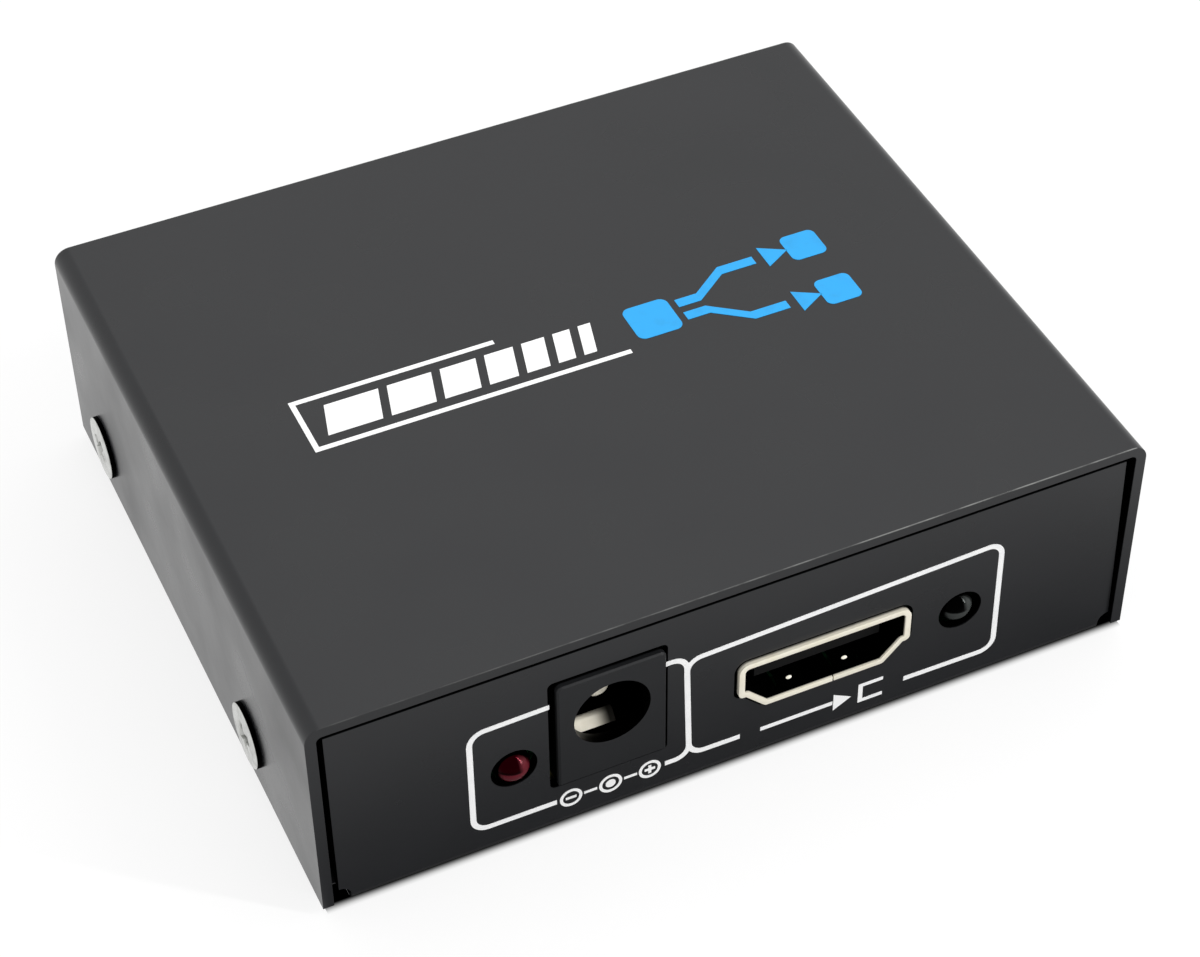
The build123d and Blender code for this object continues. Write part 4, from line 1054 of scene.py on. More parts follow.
@dataclass
class Connectors:
    """The power jack and the three video sockets, with the rims of their sheet and plastic rounded, and
    painted shade inside and behind the panel.
    """

    lip_mm: float = 0.15
    plastic_edge_mm: float = 0.1
    inside_mm: tuple[float, float] = (0.12, 0.22)
    outside_mm: tuple[float, float] = (0.34, 0.47)
    leaf_mm: tuple[float, float] = (2.5, 2.75)
    leaf_shade_mm: tuple[float, ...] = (-1.0, -0.4, 0.2, 0.8, 1.4)
    leaf_shade: float = 0.97
    body_mm: tuple[float, float] = (0.45, 0.6)
    bore_mm: float = 0.05
    bore_share: float = 0.4
    axis_drop_mm: float = 4.55
    shell_middle_mm: float = 2.65
    grip_drop_mm: float = 4.72
    dimple_mm: tuple[float, float, float] = (0.36, 0.2, 0.09)
    dimple_depth_mm: float = 1.38
    dimple_offset_mm: float = 2.45
    grip_slope: float = 43.0
    sockets: tuple[str, ...] = ("video_in", "video_out_1", "video_out_2")

    def shell(self, node: bpy.types.Object, name: str) -> bpy.types.Object:
        """Round a shell's lip, and mark painted shade on its inside past the mouth and on its outside farther
        back.

        Args:
            node: The shell's solid.
            name: The name of the piece.

        Returns:
            The finished shell.
        """
        low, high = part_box(node.name)
        side = -1 if low[1] < 0 else 1
        mouth = low[1] if side < 0 else high[1]
        axis = Vector(((low[0] + high[0]) / 2, 0, high[2] - self.shell_middle_mm * MM))
        piece = self.cut(merged(node, name), mouth, side, (*self.inside_mm, self.outside_mm[1]))
        shape_with(
            piece, "BEVEL", width=self.lip_mm * MM, segments=3, limit_method="ANGLE",
            angle_limit=math.radians(50), use_clamp_overlap=True,
        )
        smooth(piece, 50)

        def share(place: Vector, normal: Vector) -> float:
            """Give the painted shade of the shell at a point, by its depth on the inner and the outer faces.
            """
            inward = normal.x * (axis.x - place.x) + normal.z * (axis.z - place.z)
            return ramp(abs(place.y - mouth) / MM, self.inside_mm if inward > 0 else self.outside_mm)

        mark_painted_shade(piece, share)
        # The dimples carry no painted shade, so that they catch the light
        dimples = [piece]
        for offset in (-self.dimple_offset_mm, self.dimple_offset_mm):
            bpy.ops.mesh.primitive_uv_sphere_add(segments=20, ring_count=10, radius=MM)
            dimple = started(f"{name}_dimple")
            with editing(dimple):
                bpy.ops.transform.resize(value=self.dimple_mm)
            smooth(dimple)
            depth, drop = self.dimple_depth_mm * MM, self.grip_drop_mm * MM
            place = Matrix.Translation((axis.x + offset * MM, mouth - side * depth, high[2] - drop))
            settle(dimple, place @ Matrix.Rotation(math.radians(-side * self.grip_slope), 4, "X"))
            dimples.append(dimple)
        return joined(dimples, name)

    def cut(
        self, piece: bpy.types.Object, mouth: float, side: int, depths: tuple[float, ...]
    ) -> bpy.types.Object:
        """Cut a piece's faces across at some depths, so that marks can change there.

        Args:
            piece: The piece.
            mouth: The y of its mouth, in metres.
            side: Minus one in front, one behind.
            depths: How far past the mouth each cut lies.

        Returns:
            The piece.
        """
        with editing(piece):
            cut_across("Y", (mouth - side * depth * MM for depth in depths))
        return piece

    def build(self, frame: dict, materials: dict[str, bpy.types.Material]) -> None:
        """Build the rounded pieces of the jack and the sockets.

        Args:
            frame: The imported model.
            materials: A material for each slot.
        """
        low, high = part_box("jack_housing")
        mouth, middle = low[1], Vector(((low[0] + high[0]) / 2, 0, high[2] - self.axis_drop_mm * MM))
        body = merged(frame["nodes"]["jack_housing"], "jack_body")
        round_edges(body, self.plastic_edge_mm)
        self.cut(body, mouth, -1, (self.bore_mm, *self.body_mm))
        bore = (high[0] - low[0]) * self.bore_share

        def share(place: Vector, _: Vector) -> float:
            """Give the painted shade of the housing at a point: all of its bore, and its sides behind the
            panel.
            """
            depth = (place.y - mouth) / MM
            if math.hypot(place.x - middle.x, place.z - middle.z) < bore:
                return 1.0 if depth > self.bore_mm * 0.9 else 0.0
            return ramp(depth, self.body_mm)

        mark_painted_shade(body, share)
        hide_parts("jack_housing")
        hand_over(body, materials["jack_plastic"], "jack_plastic")

        leaf = merged(frame["nodes"]["jack_contact_leaf"], "jack_spring_leaf")
        self.cut(leaf, mouth, -1, self.leaf_mm)
        near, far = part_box("jack_contact_leaf")
        centre = (near.x + far.x) / 2
        with editing(leaf):
            cut_across("X", (centre + reach * MM for reach in self.leaf_shade_mm))
        smooth(leaf, 45)

        def wear_and_painted_light(place: Vector, _: Vector) -> float:
            """Give the painted shade of the leaf at a point: past its bend, and toward its right end."""
            fade = ramp((place.x - centre) / MM, (self.leaf_shade_mm[0], self.leaf_shade_mm[-1]))
            return max(self.leaf_shade * fade, ramp((place.y - mouth) / MM, self.leaf_mm))

        mark_painted_shade(leaf, wear_and_painted_light)
        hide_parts("jack_contact_leaf")
        hand_over(leaf, materials["nickel_shell"], "nickel_shell", "contact_leaf")

        for socket in self.sockets:
            piece = self.shell(frame["nodes"][f"{socket}_shell"], f"{socket}_sleeve")
            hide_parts(f"{socket}_shell")
            hand_over(piece, materials["nickel_shell"], "nickel_shell")


@dataclass
class Lenses:
    """The moulded lenses of the lights, with painted shade behind the tip, and above the middle and toward
    the left as seen from outside.
    """

    depth_shade_mm: tuple[float, float] = (0.45, 0.8)
    shade_mm: tuple[float, float] = (0.0, 0.16)
    open_mm: tuple[float, float] = (0.35, 0.75)
    rise_cuts_mm: tuple[float, ...] = (-0.6, -0.3, 0.0, 0.16, 0.5, 0.8)
    side_cuts_mm: tuple[float, ...] = (-0.8, -0.3, 0.1, 0.35, 0.75)
    flange_radius_mm: float = 1.9
    lights: tuple[tuple[str, str], ...] = (
        ("power_led", "red_lens"),
        ("input_led", "clear_lens"),
        ("output_led_1", "clear_lens"),
        ("output_led_2", "clear_lens"),
    )

    def lens(self, node: bpy.types.Object, name: str) -> bpy.types.Object:
        """Cut a lens across and mark how much painted shade each part of it gets.

        Args:
            node: The lens's solid.
            name: The name of the piece.

        Returns:
            The finished lens.
        """
        low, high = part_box(node.name)
        side = -1 if low[1] < 0 else 1
        tip, level = low[1] if side < 0 else high[1], (low[2] + high[2]) / 2
        middle = (low[0] + high[0]) / 2
        piece = merged(node, name)
        with editing(piece):
            cut_across("Z", (level + rise * MM for rise in self.rise_cuts_mm))
            cut_across("X", (middle - side * shift * MM for shift in self.side_cuts_mm))
        smooth(piece, 40)

        def share(place: Vector, _: Vector) -> float:
            """Give the painted shade of the lens at a point."""
            above = ramp((place.z - level) / MM, self.shade_mm)
            beside = 1 - ramp(-side * (place.x - middle) / MM, self.open_mm)
            return max(above * beside, ramp(abs(place.y - tip) / MM, self.depth_shade_mm))

        mark_painted_shade(piece, share)
        return piece

    def build(self, frame: dict, materials: dict[str, bpy.types.Material]) -> None:
        """Build the lenses.

        Args:
            frame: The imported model.
            materials: A material for each slot.
        """
        for light, slot in self.lights:
            piece = self.lens(frame["nodes"][f"{light}_lens"], f"{light}_dome")
            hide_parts(f"{light}_lens")
            hand_over(piece, materials[slot], slot)


@dataclass
class LightInsides:
    """The lead frame that shows inside each lens: a cup on one post and a flag on the other."""

    post_mm: float = 0.45
    post_gap_mm: float = 0.35
    cup_radius_mm: float = 0.62
    cup_height_mm: float = 0.5
    cup_depth_mm: float = 2.0
    cup_wall_mm: float = 0.08
    bowl_depth_mm: float = 0.32
    collar_mm: float = 0.1
    flag_mm: float = 0.45
    foot_depth_mm: float = 4.6
    bevel_mm: float = 0.05

    def frame_piece(self) -> bpy.types.Object:
        """Model the lead frame along +Z, with the lens's tip at z = 0 and its inside below.

        Returns:
            The lead frame.
        """
        parts = []
        for side in (-1, 1):
            bpy.ops.mesh.primitive_cube_add(size=1)
            post = started(f"light_post_{side}")
            top = -(self.cup_depth_mm + self.cup_height_mm)
            with editing(post):
                bpy.ops.transform.resize(
                    value=(self.post_mm * MM, self.post_mm * MM, (self.foot_depth_mm + top) * MM)
                )
                choose(post, "FACE", lambda face: face.normal.z > UPRIGHT)
                if side < 0:
                    bpy.ops.mesh.inset(thickness=0.04 * MM)
                rise, spread = (self.collar_mm, (1.7, 1.7, 1)) if side < 0 else (self.flag_mm, (1.5, 1, 1))
                bpy.ops.mesh.extrude_region_move(TRANSFORM_OT_translate={"value": (0, 0, rise * MM)})
                bpy.ops.transform.resize(value=spread)
                bpy.ops.mesh.select_all(action="SELECT")
                bpy.ops.mesh.bevel(offset=self.bevel_mm * MM, segments=2, affect="EDGES")
            reach = side * (self.post_mm + self.post_gap_mm) / 2 * MM
            middle = -(self.foot_depth_mm - top) / 2 * MM
            settle(post, Matrix.Translation((reach, 0, middle)))
            parts.append(post)
        bpy.ops.mesh.primitive_cylinder_add(
            vertices=32,
            radius=self.cup_radius_mm * MM,
            depth=self.cup_height_mm * MM,
            location=(
                -(self.post_mm + self.post_gap_mm) / 4 * MM,
                0,
                -(self.cup_depth_mm + self.cup_height_mm / 2) * MM,
            ),
        )
        cup = started("light_cup")
        with editing(cup):
            choose(cup, "FACE", lambda face: face.normal.z > UPRIGHT)
            bpy.ops.mesh.inset(thickness=self.cup_wall_mm * MM)
            bpy.ops.mesh.extrude_region_move(
                TRANSFORM_OT_translate={"value": (0, 0, -self.bowl_depth_mm * MM)}
            )
            bpy.ops.transform.resize(value=(0.5, 0.5, 1))
        parts.append(cup)
        return joined(parts, "light_frame")

    def build(self, places: dict[str, Matrix], material: bpy.types.Material) -> None:
        """Build the lead frame of each light.

        Args:
            places: Each light's name and the place of its lens's tip, with its axis out along +Z.
            material: The material of the frames.
        """
        first = self.frame_piece()
        smooth(first)
        for name, place in places.items():
            piece = copied(first, f"{name}_frame")
            settle(piece, place)
            hand_over(piece, material, "tinned_lead")
        bpy.data.objects.remove(first)


# Print


class Panel(Enum):
    """The faces that carry print, as places with +Z out of the sheet."""

    TOP = "top"
    FRONT = "front"
    REAR = "rear"

    def place(self) -> Matrix:
        """Give the place of the face's own flat drawing.

        Returns:
            A matrix from the drawing, in metres, to the box.
        """
        if self is Panel.TOP:
            return Matrix.Translation((0, 0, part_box("top_cover")[1][2]))
        upright = Matrix.Rotation(math.radians(90), 4, "X")
        front, rear = (corner[1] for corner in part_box("base_chassis"))
        if self is Panel.FRONT:
            return Matrix.Translation((0, front, 0)) @ upright
        return Matrix.Translation((0, rear, 0)) @ Matrix.Rotation(math.radians(180), 4, "Z") @ upright


@dataclass
class Print:
    """Flat shapes of one ink on one face, drawn in millimetres and then given the ink's thickness."""

    name: str
    face: Panel
    ink: bpy.types.Material
    thickness_mm: float = 0.03
    shapes: list[bpy.types.Object] = field(default_factory=list)

    def bar(
        self, left: float, bottom: float, right: float, top: float, corner: float = 0.0, lean: float = 0.0
    ) -> None:
        """Draw a bar.

        Args:
            left: Its left side.
            bottom: Its lower side.
            right: Its right side.
            top: Its upper side.
            corner: The radius of its corners.
            lean: How far its upper side is moved to the right.
        """
        bpy.ops.mesh.primitive_plane_add(size=1, location=(0, 0, 0))
        shape = started(f"{self.name}_bar")
        with editing(shape):
            bpy.ops.transform.resize(value=((right - left) * MM, (top - bottom) * MM, 1))
            bpy.ops.transform.translate(value=((left + right) / 2 * MM, (bottom + top) / 2 * MM, 0))
            if lean:
                choose(shape, "VERT", lambda vert: vert.co.y > (bottom + top) / 2 * MM)
                bpy.ops.transform.translate(value=(lean * MM, 0, 0))
            if corner:
                bpy.ops.mesh.select_all(action="SELECT")
                bpy.ops.mesh.bevel(offset=corner * MM, segments=6, affect="VERTICES")
        self.shapes.append(shape)

    def ring(
        self,
        corners: tuple[tuple[float, float], ...],
        radius: float,
        line: float,
        gaps: tuple[tuple[float, float, float, float], ...] = (),
    ) -> None:
        """Draw a rounded frame with gaps.

        Args:
            corners: Its outer corners: lower left, lower right, upper right and upper left.
            radius: The radius of its outer corners.
            line: The width of its line.
            gaps: Boxes (left, bottom, right, top) that are left bare.
        """
        bpy.ops.mesh.primitive_plane_add(size=2 * MM, location=(0, 0, 0))
        shape = started(f"{self.name}_ring")
        self.shapes.append(shape)
        with editing(shape):
            for (x, y), (from_x, from_y) in zip(corners, ((-1, -1), (1, -1), (1, 1), (-1, 1))):
                corner = Vector((from_x * MM, from_y * MM, 0))
                choose(shape, "VERT", lambda vert, corner=corner: (vert.co - corner).length < 0.1 * MM)
                bpy.ops.transform.translate(value=((x - from_x) * MM, (y - from_y) * MM, 0))
            bpy.ops.mesh.select_all(action="SELECT")
            bpy.ops.mesh.bevel(offset=radius * MM, segments=8, affect="VERTICES")
            bpy.ops.mesh.select_all(action="SELECT")
            bpy.ops.mesh.inset(thickness=line * MM)
            bpy.ops.mesh.delete(type="FACE")
            for gap in gaps:
                left, bottom, right, top = gap
                cut_across("X", (left * MM, right * MM), COARSE_CUT)
                cut_across("Y", (bottom * MM, top * MM), COARSE_CUT)

                def bare(face: bmesh.types.BMFace, gap: tuple[float, ...] = gap) -> bool:
                    """Tell whether a face lies in the gap."""
                    middle = face.calc_center_median() / MM
                    return gap[0] < middle.x < gap[2] and gap[1] < middle.y < gap[3]

                choose(shape, "FACE", bare)
                bpy.ops.mesh.delete(type="FACE")

    def disc(
        self, x: float, y: float, radius: float, line: float = 0.0, sides: int = 48, turn: float = 0.0
    ) -> None:
        """Draw a disc, a ring or a regular shape.

        Args:
            x: Its middle, across.
            y: Its middle, up.
            radius: Its radius.
            line: The width of its line, or nothing for a full disc.
            sides: How many sides it has.
            turn: How far it is turned, in degrees.
        """
        bpy.ops.mesh.primitive_circle_add(
            vertices=sides,
            radius=radius * MM,
            fill_type="NGON",
            location=(x * MM, y * MM, 0),
            rotation=(0, 0, math.radians(turn)),
        )
        shape = started(f"{self.name}_disc")
        bpy.ops.object.transform_apply(location=True, rotation=True, scale=True)
        if line:
            with editing(shape):
                bpy.ops.mesh.inset(thickness=line * MM)
                bpy.ops.mesh.delete(type="FACE")
        self.shapes.append(shape)

    def path(self, points: tuple[tuple[float, float], ...], height: float) -> None:
        """Draw a line that runs to the right, as high as given all along.

        Args:
            points: The middle of the line at each bend.
            height: How high the line is, measured upright.
        """
        (x, y), rest = points[0], points[1:]
        self.bar(x, y - height / 2, rest[0][0], y + height / 2)
        shape = self.shapes[-1]
        with editing(shape):
            for (from_x, from_y), (to_x, to_y) in zip(rest, rest[1:]):

                def at_end(edge: bmesh.types.BMEdge, end: float = from_x * MM) -> bool:
                    """Tell whether an edge is the line's right end."""
                    return all(abs(vert.co.x - end) < 0.01 * MM for vert in edge.verts)

                choose(shape, "EDGE", at_end)
                bpy.ops.mesh.extrude_region_move(
                    TRANSFORM_OT_translate={"value": ((to_x - from_x) * MM, (to_y - from_y) * MM, 0)}
                )

    def number(self, text: str, x: float, y: float, height: float) -> None:
        """Draw a plain number.

        Args:
            text: The digits.
            x: The number's middle, across.
            y: The number's middle, up.
            height: The height of its line of text.
        """
        bpy.ops.object.text_add(location=(x * MM, y * MM, 0))
        letters = bpy.context.object
        letters.data.body = text
        letters.data.size = height * MM
        letters.data.align_x, letters.data.align_y = "CENTER", "CENTER"
        take_up(letters)
        bpy.ops.object.convert(target="MESH")
        shape = started(f"{self.name}_number")
        bpy.ops.object.transform_apply(location=True, rotation=True, scale=True)
        with editing(shape):
            bpy.ops.mesh.remove_doubles(threshold=0.002 * MM)
        self.shapes.append(shape)

    def build(self, united: bool = False) -> None:
        """Give the shapes the ink's thickness, put them on the face and hand them over.

        Args:
            united: Whether shapes that touch are made one solid.
        """
        solids = []
        for shape in self.shapes:
            with editing(shape):
                bpy.ops.mesh.normals_make_consistent(inside=False)
                mesh = bmesh.from_edit_mesh(shape.data)
                if sum(face.normal.z for face in mesh.faces) < 0:
                    bpy.ops.mesh.flip_normals()
            shape_with(shape, "SOLIDIFY", thickness=self.thickness_mm * MM, offset=1.0)
            solids.append(shape)
        if united:
            for other in solids[1:]:
                shape_with(solids[0], "BOOLEAN", operation="UNION", object=other, solver="EXACT")
                bpy.data.objects.remove(other)
            solids = solids[:1]
        piece = joined(solids, self.name)
        settle(piece, self.face.place())
        hand_over(piece, self.ink)


@dataclass
class PrintedSigns:
    """All the print on the box: a generic one-to-two sign on top, frames and signs at the sockets."""

    line_mm: float = 0.48
    corner_mm: float = 1.5

    def top(self, white: bpy.types.Material, blue: bpy.types.Material) -> None:
        """Print the top: stepped white bars in an open frame, and a blue fork from one block to two.

        Args:
            white: The white ink.
            blue: The blue ink.
        """
        bars = Print("top_print_white", Panel.TOP, white)
        bars.bar(-23.8, -2.75, 3.4, -2.3)
        bars.bar(-23.8, 3.0, -6.2, 3.45)
        bars.bar(-23.8, -2.3, -23.35, 3.0)
        left = -22.2
        for width in (4.6, 3.8, 3.1, 2.5, 2.0, 1.5, 1.1):
            bars.bar(left, -1.35, left + width, 2.05, lean=0.9)
            left += width + 0.75
        bars.build()
        fork = Print("top_print_blue", Panel.TOP, blue)
        fork.bar(4.6, -1.7, 8.6, 2.3, 0.7)
        for side in (-1, 1):
            near, far = 0.3 + side * 0.85, 0.3 + side * 3.1
            fork.path(((9.2, near), (11.2, near), (14.2, far), (17.4, far)), 0.95)
            fork.disc(19.0, far, 1.5, sides=3, turn=-90)
            fork.bar(20.4, far - 1.6, 23.6, far + 1.6, 0.6)
        fork.build()

    def front(self, white: bpy.types.Material) -> None:
        """Print the front: two frames that share a line, a polarity sign and an inward arrow.

        Args:
            white: The white ink.
        """
        frames = Print("front_print_frames", Panel.FRONT, white)
        line, corner = self.line_mm, self.corner_mm
        frames.ring(
            ((-22.65, 2.78), (-3.98, 2.72), (-4.3, 14.62), (-22.65, 14.22)), corner, line,
            gaps=((-15.5, 2.0, -6.3, 4.0), (-15.9, 13.0, -6.3, 15.5)),
        )
        frames.ring(
            ((-4.46, 2.78), (23.2, 2.5), (23.05, 15.05), (-4.78, 14.05)), corner, line,
            gaps=((0.2, 1.8, 14.8, 4.0),),
        )
        frames.build(united=True)

        signs = Print("front_print_signs", Panel.FRONT, white)
        middle, stroke, half = 2.95, 0.26, 0.13
        # Minus on the sleeve, plus on the pin
        signs.disc(-14.3, middle, 0.95, stroke)
        signs.bar(-14.75, middle - half, -13.85, middle + half)
        signs.bar(-13.2, middle - half, -12.1, middle + half)
        signs.disc(-10.95, middle, 0.42)
        signs.disc(-10.95, middle, 0.98, stroke)
        signs.bar(-9.8, middle - half, -8.7, middle + half)
        signs.disc(-7.6, middle, 0.95, stroke)
        signs.bar(-8.05, middle - half, -7.15, middle + half)
        signs.bar(-7.73, middle - 0.45, -7.47, middle - half)
        signs.bar(-7.73, middle + half, -7.47, middle + 0.45)
        # An arrow into a socket
        signs.bar(2.0, middle - 0.2, 8.4, middle + 0.2)
        signs.disc(9.0, middle, 1.05, sides=3, turn=-90)
        signs.bar(10.7, middle - 1.05, 11.1, middle + 1.05)
        signs.bar(11.1, middle - 1.05, 12.9, middle - 0.7)
        signs.bar(11.1, middle + 0.7, 12.9, middle + 1.05)
        signs.build()

    def rear(self, white: bpy.types.Material) -> None:
        """Print the rear: a frame round each output and its light, with a plain number.

        Args:
            white: The white ink.
        """
        for number, side in (("1", -1), ("2", 1)):
            frames = Print(f"rear_print_frame_{number}", Panel.REAR, white)
            inner, outer = 1.2 * side, 28.0 * side
            left, right = min(inner, outer), max(inner, outer)
            middle = 12.06 * side
            frames.ring(
                ((left, 2.8), (right, 2.8), (right, 14.4), (left, 14.4)), self.corner_mm, self.line_mm,
                gaps=((middle - 1.6, 2.0, middle + 1.6, 4.0),),
            )
            frames.number(number, middle, 3.0, 3.0)
            frames.build()

    def build(self, white: bpy.types.Material, blue: bpy.types.Material) -> None:
        """Print every face.

        Args:
            white: The white ink.
            blue: The blue ink.
        """
        self.top(white, blue)
        self.front(white)
        self.rear(white)


# Studio


@dataclass
class Studio:
    """A white table under soft light from behind, with a painted shadow at the box's foot, and the camera
    where the photographer's stood.
    """

    eye_mm: tuple[float, float, float] = (-73.26, -166.16, 181.27)
    ahead: tuple[float, float, float] = (0.2953, 0.6554, -0.6951)
    upright: tuple[float, float, float] = (0.2975, 0.6283, 0.7188)
    lens_mm: float = 90.165
    sensor_mm: float = 36.0
    table_m: float = 6.0
    table_grey: str = "#8c8c8c"
    table_lift: float = 0.76
    # Painted shadow: where the table's painted darkness around the box's foot begins, as the camera sees it
    # and as reflections see it
    seen_feet: Feet = (
        ("X", (-34.65, 30.0), (35.2, 30.0)),
        ("Y", (-28.55, 1.0), (28.9, 3.0)),
    )
    mirrored_feet: Feet = (
        ("X", (-34.2, 30.0), (35.2, 1.0)),
        ("Y", (-28.55, 1.0), (28.55, 1.0)),
    )
    painted_shadow_fade_mm: float = 0.7
    seen_shadow_fade_mm: float = 1.0
    mirrored_shade_fade_mm: float = 30.0
    touch_mm: float = 0.1
    sunk_mm: float = 0.02
    sky_low: float = 1.35
    sky_high: float = 0.72

    def camera(self) -> None:
        """Place the camera."""
        forward = Vector(self.ahead).normalized()
        right = forward.cross(Vector(self.upright)).normalized()
        up = right.cross(forward)
        turned = Matrix((right, up, -forward)).transposed().to_4x4()
        data = bpy.data.cameras.new("view")
        data.lens, data.sensor_width = self.lens_mm, self.sensor_mm
        data.clip_start, data.clip_end = 0.005, 50
        camera = bpy.data.objects.new("view", data)
        camera.matrix_world = Matrix.Translation(Vector(self.eye_mm) * MM) @ turned
        bpy.context.scene.collection.objects.link(camera)
        bpy.context.scene.camera = camera

    @staticmethod
    def seen(tree: bpy.types.NodeTree) -> bpy.types.NodeSocket:
        """Give one for the kinds of ray that show the background.

        Args:
            tree: The nodes that the mask goes into.

        Returns:
            The mask.
        """
        path = add_node(tree, "ShaderNodeLightPath")
        mask = path.outputs[SHOWN_RAYS[0]]
        for kind in SHOWN_RAYS[1:]:
            mask = add_node(
                tree, "ShaderNodeMath", {"operation": "MAXIMUM"}, {0: mask, 1: path.outputs[kind]}
            ).outputs[0]
        return mask

    @staticmethod
    def away(tree: bpy.types.NodeTree, feet: Feet) -> bpy.types.NodeSocket:
        """Measure how far a point of the table is from the box's foot.

        Args:
            tree: The table's nodes.
            feet: For each axis, where the foot ends on either side, and how fast the distance counts there.

        Returns:
            The distance in metres, nought under the box.
        """
        place = add_node(tree, "ShaderNodeTexCoord").outputs["Object"]
        axes = add_node(tree, "ShaderNodeSeparateXYZ", links={"Vector": place})
        reach = {}
        for axis, *edges in feet:
            sides = []
            for foot, share in edges:
                share = math.copysign(share, foot)
                away = add_node(
                    tree,
                    "ShaderNodeMath",
                    {"operation": "MULTIPLY_ADD", 1: share, 2: -foot * MM * share},
                    {0: axes.outputs[axis]},
                )
                sides.append(away.outputs[0])
            near = add_node(tree, "ShaderNodeMath", {"operation": "MAXIMUM"}, {0: sides[0], 1: sides[1]})
            clear = add_node(tree, "ShaderNodeMath", {"operation": "MAXIMUM", 1: 0.0}, {0: near.outputs[0]})
            reach[axis] = clear.outputs[0]
        both_ways = add_node(tree, "ShaderNodeCombineXYZ", links=reach)
        return add_node(
            tree, "ShaderNodeVectorMath", {"operation": "LENGTH"}, {0: both_ways.outputs[0]}
        ).outputs["Value"]

    def table(self) -> None:
        """Lay the white table, which keeps the soft shadow; a painted shadow makes it black at the box's
        foot, and its glow fades near the box, over a wider span in reflections.
        """
        bpy.ops.mesh.primitive_plane_add(size=self.table_m, location=(0, 0, -self.sunk_mm * MM))
        table = started("table")
        material = bpy.data.materials.new("white_table")
        material.use_nodes = True
        tree = material.node_tree
        tree.nodes.clear()
        clear_of_painted_shadow, seen_open, mirrored_open = (
            add_node(
                tree,
                "ShaderNodeMapRange",
                {"From Max": fade * MM, "interpolation_type": "SMOOTHSTEP"},
                {"Value": self.away(tree, feet)},
            ).outputs[0]
            for feet, fade in (
                (self.seen_feet, self.painted_shadow_fade_mm),
                (self.seen_feet, self.seen_shadow_fade_mm),
                (self.mirrored_feet, self.mirrored_shade_fade_mm),
            )
        )
        # Painted shadow: the table turns black under the box's foot
        grey = add_node(
            tree,
            "ShaderNodeMix",
            {"data_type": "RGBA", 6: linear("#000000"), 7: linear(self.table_grey)},
            {0: clear_of_painted_shadow},
        )
        matt = add_node(tree, "ShaderNodeBsdfDiffuse", links={"Color": grey.outputs[2]})
        # Painted shadow and shade: the glow that lifts the table to white fades near the box, over a wider
        # span for reflections, which darkens the box's front
        mirrored = add_node(tree, "ShaderNodeLightPath").outputs["Is Glossy Ray"]
        open_table = add_node(
            tree, "ShaderNodeMix", {"data_type": "FLOAT"}, {0: mirrored, 2: seen_open, 3: mirrored_open}
        )
        shown = self.seen(tree)
        lift = add_node(tree, "ShaderNodeMath", {"operation": "MULTIPLY", 1: self.table_lift}, {0: shown})
        glow_share = add_node(
            tree, "ShaderNodeMath", {"operation": "MULTIPLY"}, {0: lift.outputs[0], 1: open_table.outputs[0]}
        )
        glow = add_node(
            tree, "ShaderNodeEmission", {"Color": linear("#ffffff")}, {"Strength": glow_share.outputs[0]}
        )
        both = add_node(tree, "ShaderNodeAddShader", links={0: matt.outputs[0], 1: glow.outputs[0]})
        below = add_node(tree, "ShaderNodeNewGeometry").outputs["Backfacing"]
        length = add_node(tree, "ShaderNodeLightPath").outputs["Ray Length"]
        touching = add_node(
            tree, "ShaderNodeMath", {"operation": "LESS_THAN", 1: self.touch_mm * MM}, {0: length}
        )
        clear = add_node(tree, "ShaderNodeMath", {"operation": "MAXIMUM"}, {0: below, 1: touching.outputs[0]})
        nothing = add_node(tree, "ShaderNodeBsdfTransparent")
        shown_from_above = add_node(
            tree,
            "ShaderNodeMixShader",
            links={0: clear.outputs[0], 1: both.outputs[0], 2: nothing.outputs[0]},
        )
        add_node(tree, "ShaderNodeOutputMaterial", links={"Surface": shown_from_above.outputs[0]})
        table.data.materials.append(material)

    def lamp(
        self, name: str, place: tuple[float, float, float], size: tuple[float, float], power: float
    ) -> None:
        """Hang a soft lamp that faces the box.

        Args:
            name: The lamp's name.
            place: Where it hangs, in metres.
            size: Its width and height, in metres.
            power: Its power in watts.
        """
        data = bpy.data.lights.new(name, "AREA")
        data.shape, data.energy = "RECTANGLE", power
        data.size, data.size_y = size
        lamp = bpy.data.objects.new(name, data)
        lamp.location = place
        lamp.rotation_euler = (Vector((0, 0, 0.01)) - Vector(place)).to_track_quat("-Z", "Y").to_euler()
        bpy.context.scene.collection.objects.link(lamp)

    def sky(self) -> None:
        """Surround the table with soft light that the camera, metal and glass see as plain white."""
        world = bpy.data.worlds.new("studio")
        world.use_nodes = True
        bpy.context.scene.world = world
        tree = world.node_tree
        tree.nodes.clear()
        axes = add_node(
            tree,
            "ShaderNodeSeparateXYZ",
            links={"Vector": add_node(tree, "ShaderNodeTexCoord").outputs["Generated"]},
        )
        light = add_node(
            tree,
            "ShaderNodeMapRange",
            {"To Min": self.sky_low, "To Max": self.sky_high},
            {"Value": axes.outputs["Z"]},
        )
        strength = add_node(
            tree,
            "ShaderNodeMix",
            {"data_type": "FLOAT", 3: 1.0},
            {0: self.seen(tree), 2: light.outputs[0]},
        )
        back = add_node(
            tree, "ShaderNodeBackground", {"Color": linear("#ffffff")}, {"Strength": strength.outputs[0]}
        )
        add_node(tree, "ShaderNodeOutputWorld", links={"Surface": back.outputs[0]})

    def build(self) -> None:
        """Set up the table, the light and the camera."""
        bpy.context.scene.view_settings.view_transform = "Standard"
        self.table()
        self.lamp("soft_top", (0.18, 0.32, 0.62), (0.5, 0.5), 0.4)
        self.lamp("soft_right", (0.42, -0.4, 0.34), (0.022, 0.62), 1.8)
        self.sky()
        self.camera()


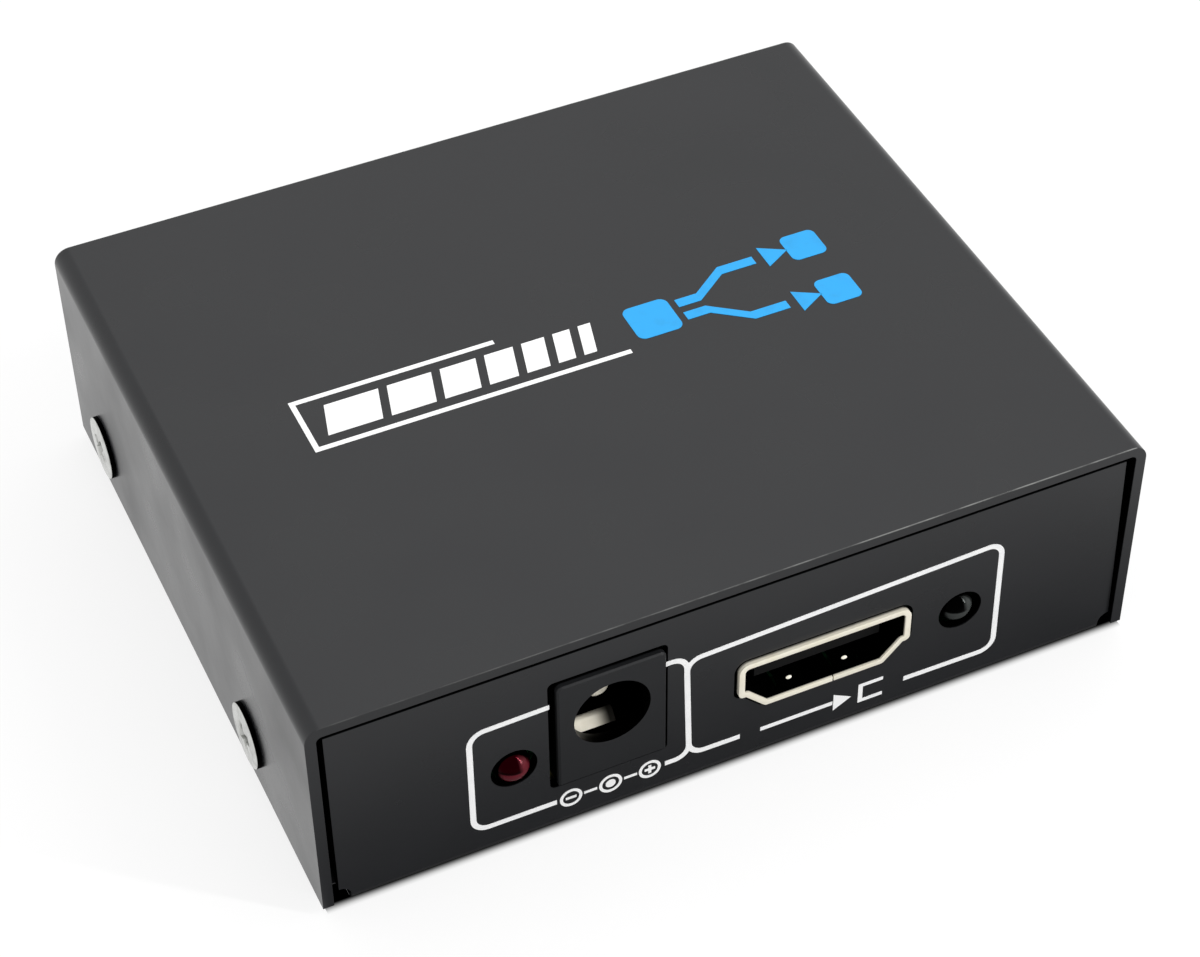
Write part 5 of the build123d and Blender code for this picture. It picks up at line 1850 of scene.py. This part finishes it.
def outward(
    x: float, y: float, z: float, direction: tuple[float, float, float], turn: float = 0.0
) -> Matrix:
    """Give the place of a piece whose axis points out along a direction.

    Args:
        x: Place across, in millimetres.
        y: Place from front to back.
        z: Place up.
        direction: Where the piece's +Z points.
        turn: How far it is turned about its axis, in degrees.

    Returns:
        The place as a matrix in metres.
    """
    turned = Vector((0, 0, 1)).rotation_difference(Vector(direction)).to_matrix().to_4x4()
    return Matrix.Translation((x * MM, y * MM, z * MM)) @ turned @ Matrix.Rotation(math.radians(turn), 4, "Z")


def main() -> None:
    """Build every sub-assembly in order."""
    logging.basicConfig(level=logging.INFO, format="%(message)s")
    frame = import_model()
    materials = {slot: finish.material() for slot, finish in SLOT_FINISHES.items()}
    for row in frame["record"]["subparts"]:
        for entry in frame["nodes"][row["node"]].material_slots:
            entry.material = materials[row["material_slot"]]

    SteelBox().build(frame, materials)

    screws = ScrewSet("cover_screw", "cover_screws", 2.75, 0.44, 0.08, 1.5, 3.9)
    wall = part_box("top_cover")[1][0] / MM
    low, high = (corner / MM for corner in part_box("cover_screws"))
    rows = (low.y + screws.head_radius_mm, high.y - screws.head_radius_mm)
    # No two screws are driven home at the same turn
    turns = iter((24, 51, 8, 70))
    places = [
        outward(side * wall, y, (low.z + high.z) / 2, (side, 0, 0), next(turns))
        for side in (-1, 1)
        for y in rows
    ]
    screws.build(places, materials["plated_screw"], "plated_screw")

    screws = ScrewSet("board_screw", "board_screws", 2.75, 0.9, 0.9, 1.5, 4.0)
    low, high = (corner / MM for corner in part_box("board_screws"))
    rows = (low.y + screws.head_radius_mm, high.y - screws.head_radius_mm)
    columns = (low.x + screws.head_radius_mm, high.x - screws.head_radius_mm)
    turns = iter((15, 40, 62, 33))
    places = [
        outward(x, y, low.z + screws.shank_length_mm, (0, 0, 1), next(turns)) for y in rows for x in columns
    ]
    screws.build(places, materials["plated_screw"], "plated_screw")

    Connectors().build(frame, materials)
    lenses = Lenses()
    lenses.build(frame, materials)
    tips = {}
    for light, _ in lenses.lights:
        low, high = (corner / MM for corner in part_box(f"{light}_lens"))
        side = -1 if low.y < 0 else 1
        x = low.x + lenses.flange_radius_mm if side < 0 else high.x - lenses.flange_radius_mm
        tips[light] = outward(x, low.y if side < 0 else high.y, (low.z + high.z) / 2, (0, side, 0))
    LightInsides().build(tips, SHADED_LEAD_FRAME.material())
    PrintedSigns().build(WHITE_INK.material(), BLUE_INK.material())
    Studio().build()


if __name__ == "__main__":
    main()
